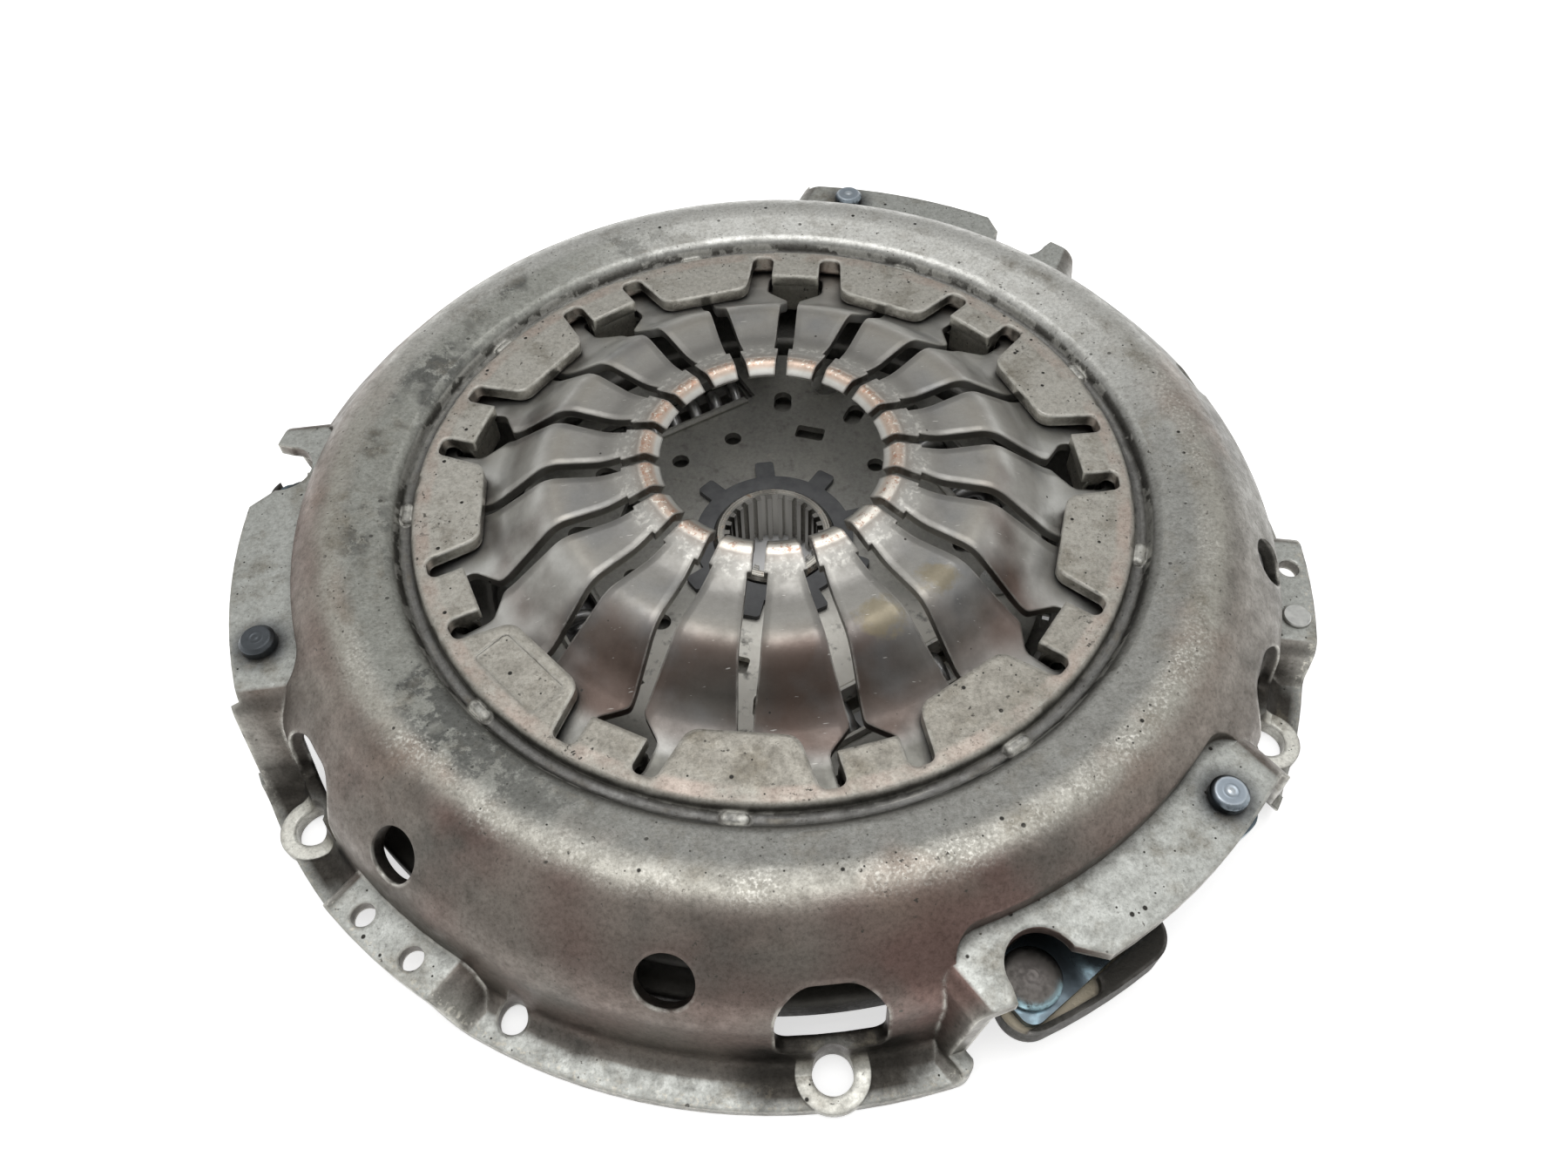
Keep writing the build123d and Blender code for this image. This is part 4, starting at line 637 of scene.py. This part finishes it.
class ClutchStudioSettings(bpy.types.PropertyGroup):
    """Sizes, colours and light of the studio."""

    floor_size: FloatProperty(name="Floor", description="Side of the square floor", default=8.0,
                              unit="LENGTH")
    floor_colour: FloatVectorProperty(name="Floor Colour", description="Colour of the floor", subtype="COLOR",
                                      size=4, min=0, max=1, default=linear("#f4f4f4"))
    lamp_power: FloatProperty(name="Lamp", description="Power of the overhead soft light", default=1.7,
                              unit="POWER")
    lamp_size: FloatProperty(name="Lamp Size", description="Side of the overhead soft light", default=0.6,
                             unit="LENGTH")
    lens: FloatProperty(name="Lens", description="Focal length of the camera in millimetres", default=26.41)


# ---------------------------------------------------------------- shapes
def cad_node(name):
    """A node of the loaded frame."""
    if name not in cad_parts:
        raise RuntimeError(f"the frame has no node {name}")
    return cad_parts[name]


def give(material, *names):
    """Assigns a finish to CAD nodes."""
    for name in names:
        for holder in cad_node(name).material_slots:
            holder.material = material


def new_object(name, data):
    """New object in the scene."""
    made = bpy.data.objects.new(name, data)
    bpy.context.scene.collection.objects.link(made)
    return made


def merged_copy(name, source):
    """A CAD node's mesh with its loose triangles joined and its folds kept crisp, as a new object."""
    mesh = cad_node(source).data.copy()
    shell = bmesh.new()
    shell.from_mesh(mesh)
    bmesh.ops.remove_doubles(shell, verts=shell.verts, dist=WELD)
    shell.to_mesh(mesh)
    shell.free()
    if "custom_normal" in mesh.attributes:
        mesh.attributes.remove(mesh.attributes["custom_normal"])
    mesh.shade_smooth()
    mesh.set_sharp_from_angle(angle=math.radians(SHEET_FOLD))
    return new_object(name, mesh)


def baked(made, name):
    """Plain mesh object from the evaluated object, with its modifiers dropped."""
    shape = bpy.data.meshes.new_from_object(made.evaluated_get(bpy.context.evaluated_depsgraph_get()))
    if not shape.polygons:
        raise RuntimeError(f"{name} came out empty")
    made.modifiers.clear()
    result = new_object(name, shape)
    shape.name = name
    bpy.data.objects.remove(made)
    return result


def new_shape_tree(name, result, inputs):
    """New shape tree: the tree, its input sockets by name, and where those come out inside it."""
    tree = bpy.data.node_groups.new(name, "GeometryNodeTree")
    sockets = {label: tree.interface.new_socket(label, in_out="INPUT", socket_type="NodeSocket" + kind)
               for label, kind in inputs.items()}
    tree.interface.new_socket(result, in_out="OUTPUT", socket_type="NodeSocketGeometry")
    return tree, sockets, add_node(tree, "NodeGroupInput").outputs


def moved(tree, shape, shift=None, turn=None):
    """A shape, shifted and turned by vectors."""
    inputs = {"Geometry": shape}
    if shift:
        inputs["Translation"] = shift
    if turn:
        inputs["Rotation"] = turn
    return add_node(tree, "GeometryNodeTransform", inputs).outputs[0]


def round_the_axis(tree, shape, count):
    """Copies of a shape, turned evenly round the clutch axis."""
    points = add_node(tree, "GeometryNodePoints", {"Count": count})
    number = add_node(tree, "GeometryNodeInputIndex")
    turn = calc(tree, "MULTIPLY", number.outputs[0], calc(tree, "DIVIDE", 2 * math.pi, count))
    return add_node(tree, "GeometryNodeInstanceOnPoints", {
        "Points": points.outputs[0], "Instance": shape, "Rotation": vector(tree, z=turn)}).outputs[0]


def finished_shape(tree, shape, finish):
    """Ends a tree with real geometry in one finish."""
    real = add_node(tree, "GeometryNodeRealizeInstances", {0: shape})
    coated = add_node(tree, "GeometryNodeSetMaterial", {"Geometry": real.outputs[0], "Material": finish})
    add_node(tree, "NodeGroupOutput", {0: coated.outputs[0]})


def grown(name, tree, sockets, values, source=None):
    """Plain mesh object that a tree makes from these values, on its own or from another object."""
    blank = name + "_blank"
    made = source or new_object(blank, bpy.data.meshes.new(blank))
    shaped = made.modifiers.new("Shape", "NODES")
    shaped.node_group = tree
    for label, value in values.items():
        shaped[sockets[label].identifier] = value
    return baked(made, name)


# ---------------------------------------------------------------- studio
def white_paper(colour):
    """Matt white paper: lifted to white where it is seen; the lift falls off towards the axis, which paints a
    deeper shadow under the hub.
    """
    paper, tree, surface, place = new_finish("white_paper", 0.0, 0.9)
    surface.inputs["Base Color"].default_value = colour
    path = add_node(tree, "ShaderNodeLightPath").outputs
    seen = calc(tree, "MAXIMUM", path["Is Camera Ray"], path["Is Glossy Ray"])
    seen = calc(tree, "MAXIMUM", seen, path["Is Transmission Ray"])
    _, reach = axis_reach(tree, place)
    lifted = calc(tree, "MULTIPLY", seen, ranged(tree, reach, 60.0, 115.0, 0.04, 0.62))
    surface.inputs["Emission Color"].default_value = linear("#ffffff")
    tree.links.new(lifted, surface.inputs["Emission Strength"])
    return paper


def plain_room():
    """World like a plain room: light overhead and to the sides, dimmer in front and behind."""
    world = bpy.data.worlds.new("plain_room")
    world.use_nodes = True
    sky = world.node_tree
    aim = add_node(sky, "ShaderNodeTexCoord").outputs["Generated"]
    shade = ramped(sky, along(sky, aim, (0.0, 0.14, 0.99)), [
        (0.0, "#b4b4b3"), (0.6, "#b6b6b5"), (0.86, "#cacac9"), (1.0, "#ffffff")])
    aside = add_node(sky, "ShaderNodeSeparateXYZ", {0: aim}).outputs[0]
    shade = tinted(sky, shade, calc(sky, "MULTIPLY", aside, aside), "#f2f2f1")
    sight = add_node(sky, "ShaderNodeLightPath").outputs["Is Camera Ray"]
    back = sky.nodes["Background"]
    back.inputs["Strength"].default_value = 1.0
    sky.links.new(tinted(sky, shade, sight, "#ffffff"), back.inputs["Color"])
    return world


def steep_camera(focal):
    """Camera with a steep view over the clutch, rolled a little."""
    turn, tilt, roll = (math.radians(angle) for angle in CAMERA_ANGLES)
    away = Vector((math.sin(turn) * math.cos(tilt), -math.cos(turn) * math.cos(tilt), math.sin(tilt)))
    right = Vector((math.cos(turn), math.sin(turn), 0))
    upward = away.cross(right)
    across = right * math.cos(roll) + upward * math.sin(roll)
    above = upward * math.cos(roll) - right * math.sin(roll)
    lens = bpy.data.cameras.new("camera")
    lens.lens = focal
    lens.sensor_width = 36
    lens.clip_start = 0.01
    camera = new_object("camera", lens)
    turned = Matrix((across, above, away)).transposed().to_4x4()
    camera.matrix_world = Matrix.Translation(CAMERA_PLACE) @ turned
    return camera


# ---------------------------------------------------------------- operators
class CLUTCH_OT_finish_cover(bpy.types.Operator):
    """Finish the pressed cover, its rivets and the support ring"""

    bl_idname = "clutch.finish_cover"
    bl_label = "Finish Cover"

    def execute(self, context):
        give(deep_drawn_steel(), "cover")
        give(phosphated_sheet_steel(), "support_ring")
        # the blued head's bright centre and rim ring are painted highlights and its dark outer ring painted
        # shade on the side wall
        blued_head_with_light = [(0, "#dfe5ea"), (0.8, "#b9c1c8"), (1.5, "#97a1aa"), (2.9, "#9da7b1"), (3.4, "#c3ccd4"),
                 (3.8, "#6c757e"), (4.2, "#33383d"), (5.5, "#2c3135")]
        give(headed_rivet_steel("blued_rivet_steel", COVER_RIVETS, blued_head_with_light, "#8d979f", 0.1, 0.6),
             "strap_cover_rivets")
        give(zinc_plated_steel(), "balance_rivet")
        return {"FINISHED"}


class CLUTCH_OT_build_diaphragm(bpy.types.Operator):
    """Build the diaphragm spring with peened, slightly rounded finger edges"""

    bl_idname = "clutch.build_diaphragm"
    bl_label = "Build Diaphragm Spring"

    def execute(self, context):
        spring = baked(merged_copy("diaphragm_blank", "diaphragm_spring"), "diaphragm_fingers")
        spring.data.materials.clear()
        spring.data.materials.append(tempered_spring_steel())
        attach(spring, "diaphragm")
        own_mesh(spring)
        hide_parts("diaphragm_spring")
        return {"FINISHED"}


class CLUTCH_OT_build_straps(bpy.types.Operator):
    """Build the packs of drive straps that carry the pressure plate"""

    bl_idname = "clutch.build_straps"
    bl_label = "Build Drive Straps"

    def execute(self, context):
        tree, sockets, given = new_shape_tree("Strap Packs", "Straps", {
            "Pack": "Geometry", "Packs": "Int", "Finish": "Material"})
        finished_shape(tree, round_the_axis(tree, given["Pack"], given["Packs"]), given["Finish"])
        straps = grown("strap_packs", tree, sockets, {
            "Packs": context.scene.clutch_springs.strap_packs, "Finish": blued_strap_steel(),
        }, merged_copy("strap_blank", "drive_straps_1"))
        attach(straps, "cover")
        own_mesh(straps)
        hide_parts("drive_straps_1", "drive_straps_2", "drive_straps_3")
        return {"FINISHED"}


class CLUTCH_OT_build_coils(bpy.types.Operator):
    """Build the damper coils of the driven disc"""

    bl_idname = "clutch.build_coils"
    bl_label = "Build Damper Coils"

    def execute(self, context):
        settings = context.scene.clutch_springs
        finish = oil_hardened_wire()
        tree, sockets, given = new_shape_tree("Damper Coil", "Coil", {
            "Blank": "Geometry", "Wire Radius": "Float", "Coil Radius": "Float", "Length": "Float",
            "Turns": "Float", "Seat Radius": "Float", "Height": "Float", "Angle": "Float",
            "Finish": "Material"})
        room = calc(tree, "MULTIPLY_ADD", given["Wire Radius"], -2.0, given["Length"])
        line = add_node(tree, "GeometryNodeCurveSpiral", {
            "Resolution": 32, "Rotations": given["Turns"], "Start Radius": given["Coil Radius"],
            "End Radius": given["Coil Radius"], "Height": room})
        ring = add_node(tree, "GeometryNodeCurvePrimitiveCircle", {
            "Resolution": 16, "Radius": given["Wire Radius"]}, mode="RADIUS")
        wire = add_node(tree, "GeometryNodeCurveToMesh", {
            "Curve": line.outputs[0], "Profile Curve": ring.outputs[0], "Fill Caps": True})
        level = moved(tree, wire.outputs[0], vector(tree, z=calc(tree, "MULTIPLY", room, -0.5)))
        seat = vector(tree, x=given["Seat Radius"], z=given["Height"])
        laid = moved(tree, level, seat, (math.pi / 2, 0, 0))
        finished_shape(tree, moved(tree, laid, turn=vector(tree, z=given["Angle"])), given["Finish"])
        for number in range(settings.coil_count):
            angle = math.radians(FIRST_COIL + number * 360.0 / settings.coil_count)
            coil = grown(f"damper_coil_{number + 1}", tree, sockets, {
                "Wire Radius": settings.coil_wire, "Coil Radius": settings.coil_radius,
                "Length": settings.coil_length, "Turns": settings.coil_turns,
                "Seat Radius": settings.coil_seat, "Height": settings.coil_height, "Angle": angle,
                "Finish": finish})
            coil.data.shade_smooth()
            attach(coil, "driven_disc")
            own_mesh(coil)
            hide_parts("damper_springs")
        return {"FINISHED"}


class CLUTCH_OT_finish_plate(bpy.types.Operator):
    """Finish the pressure plate and its strap rivets, and build the plate's outer rim"""

    bl_idname = "clutch.finish_plate"
    bl_label = "Finish Pressure Plate"

    def execute(self, context):
        settings = context.scene.clutch_springs
        iron = grey_cast_iron()
        give(iron, "pressure_plate")
        tree, sockets, given = new_shape_tree("Plate Rim", "Rim", {
            "Blank": "Geometry", "Outer Radius": "Float", "Inner Radius": "Float", "Thickness": "Float",
            "Height": "Float", "Start": "Float", "Sweep": "Float", "Arcs": "Int", "Finish": "Material"})
        both = calc(tree, "ADD", given["Outer Radius"], given["Inner Radius"])
        width = calc(tree, "SUBTRACT", given["Outer Radius"], given["Inner Radius"])
        line = add_node(tree, "GeometryNodeCurveArc", {
            "Resolution": 64, "Radius": calc(tree, "MULTIPLY", both, 0.5), "Start Angle": given["Start"],
            "Sweep Angle": given["Sweep"]}, mode="RADIUS")
        level = add_node(tree, "GeometryNodeSetCurveNormal", {"Curve": line.outputs[0]}, mode="Z_UP")
        bar = add_node(tree, "GeometryNodeCurvePrimitiveQuadrilateral", {
            "Width": width, "Height": given["Thickness"]})
        eased = add_node(tree, "GeometryNodeFilletCurve", {
            "Curve": bar.outputs[0], "Radius": RIM_EASE, "Count": 3}, mode="POLY")
        swept = add_node(tree, "GeometryNodeCurveToMesh", {
            "Curve": level.outputs[0], "Profile Curve": eased.outputs[0], "Fill Caps": True})
        raised = moved(tree, swept.outputs[0], vector(tree, z=given["Height"]))
        finished_shape(tree, round_the_axis(tree, raised, given["Arcs"]), given["Finish"])
        start, sweep = RIM_ARC
        rim = grown("plate_rim", tree, sockets, {
            "Outer Radius": settings.rim_radius, "Inner Radius": settings.rim_radius - RIM_WIDTH,
            "Thickness": settings.rim_thickness, "Height": RIM_HEIGHT, "Start": math.radians(start),
            "Sweep": math.radians(sweep), "Arcs": settings.strap_packs, "Finish": iron})
        rim.data.shade_smooth()
        rim.data.set_sharp_from_angle(angle=math.radians(RIM_FOLD))
        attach(rim, "pressure_plate")
        black = [(0, "#5a5654"), (5.0, "#524f4c"), (6.2, "#484644"), (7.0, "#3b3c3d")]
        give(headed_rivet_steel("blackened_rivet_steel", PLATE_RIVETS, black, "#b9dbe5", 0.03, 2.0),
             "strap_plate_rivets")
        return {"FINISHED"}


class CLUTCH_OT_finish_disc(bpy.types.Operator):
    """Finish the driven disc: linings, retainers, rings and hub"""

    bl_idname = "clutch.finish_disc"
    bl_label = "Finish Driven Disc"

    def execute(self, context):
        give(phosphated_sheet_steel(), "front_retainer", "rear_retainer", "cushion_segments", "cone_spring",
             "hub_flange", "segment_rivets")
        give(moulded_friction_lining(), "facing_plate_side", "facing_flywheel_side")
        give(drawn_brass(), "facing_rivets_plate_side", "facing_rivets_flywheel_side")
        give(glass_filled_nylon(), "tabbed_friction_ring", "front_bush", "rear_bush", "front_friction_washer",
             "rear_friction_washer")
        give(zinc_plated_steel(), "stop_pins")
        give(machined_hub_steel(), "hub")
        return {"FINISHED"}


class CLUTCH_OT_build_studio(bpy.types.Operator):
    """Build the pale floor, the soft light, the world and the camera"""

    bl_idname = "clutch.build_studio"
    bl_label = "Build Studio"

    def execute(self, context):
        settings = context.scene.clutch_studio
        scene = context.scene
        scene.view_settings.view_transform = "Standard"
        for old in [thing for thing in bpy.data.objects if thing.type in {"LIGHT", "CAMERA"}]:
            bpy.data.objects.remove(old)
        half = settings.floor_size / 2
        low = cad_box[0].z - FLOOR_GAP
        sheet = bpy.data.meshes.new("studio_floor")
        sheet.from_pydata([(-half, -half, low), (half, -half, low), (half, half, low), (-half, half, low)],
                          [], [(0, 1, 2, 3)])
        sheet.materials.append(white_paper(settings.floor_colour))
        floor = new_object("studio_floor", sheet)
        # one soft light overhead
        lamp = bpy.data.lights.new("overhead_light", "AREA")
        lamp.energy = settings.lamp_power
        lamp.size = settings.lamp_size
        holder = new_object("overhead_light", lamp)
        holder.location = LAMP_PLACE
        holder.rotation_euler = (-Vector(LAMP_PLACE)).to_track_quat("-Z", "Y").to_euler()
        scene.world = plain_room()
        scene.camera = steep_camera(settings.lens)
        return {"FINISHED"}


OPERATORS = (CLUTCH_OT_finish_cover, CLUTCH_OT_build_diaphragm, CLUTCH_OT_build_straps, CLUTCH_OT_build_coils,
             CLUTCH_OT_finish_plate, CLUTCH_OT_finish_disc, CLUTCH_OT_build_studio)


class CLUTCH_PT_panel(bpy.types.Panel):
    """Panel with the clutch's settings and steps"""

    bl_idname = "CLUTCH_PT_panel"
    bl_label = "Clutch Cover Assembly"
    bl_space_type = "VIEW_3D"
    bl_region_type = "UI"
    bl_category = "Clutch"

    def draw(self, context):
        layout = self.layout
        for group in (context.scene.clutch_springs, context.scene.clutch_studio):
            box = layout.box()
            for name in group.__annotations__:
                box.prop(group, name)
        for operator in OPERATORS:
            layout.operator(operator.bl_idname)


CLASSES = (ClutchSpringSettings, ClutchStudioSettings) + OPERATORS + (CLUTCH_PT_panel,)


def register():
    for kind in CLASSES:
        bpy.utils.register_class(kind)
    bpy.types.Scene.clutch_springs = PointerProperty(type=ClutchSpringSettings)
    bpy.types.Scene.clutch_studio = PointerProperty(type=ClutchStudioSettings)


def unregister():
    del bpy.types.Scene.clutch_studio
    del bpy.types.Scene.clutch_springs
    for kind in reversed(CLASSES):
        bpy.utils.unregister_class(kind)


def main():
    register()
    bpy.ops.clutch.finish_cover()
    bpy.ops.clutch.build_diaphragm()
    bpy.ops.clutch.build_straps()
    bpy.ops.clutch.build_coils()
    bpy.ops.clutch.finish_plate()
    bpy.ops.clutch.finish_disc()
    bpy.ops.clutch.build_studio()


if __name__ == "__main__":
    main()
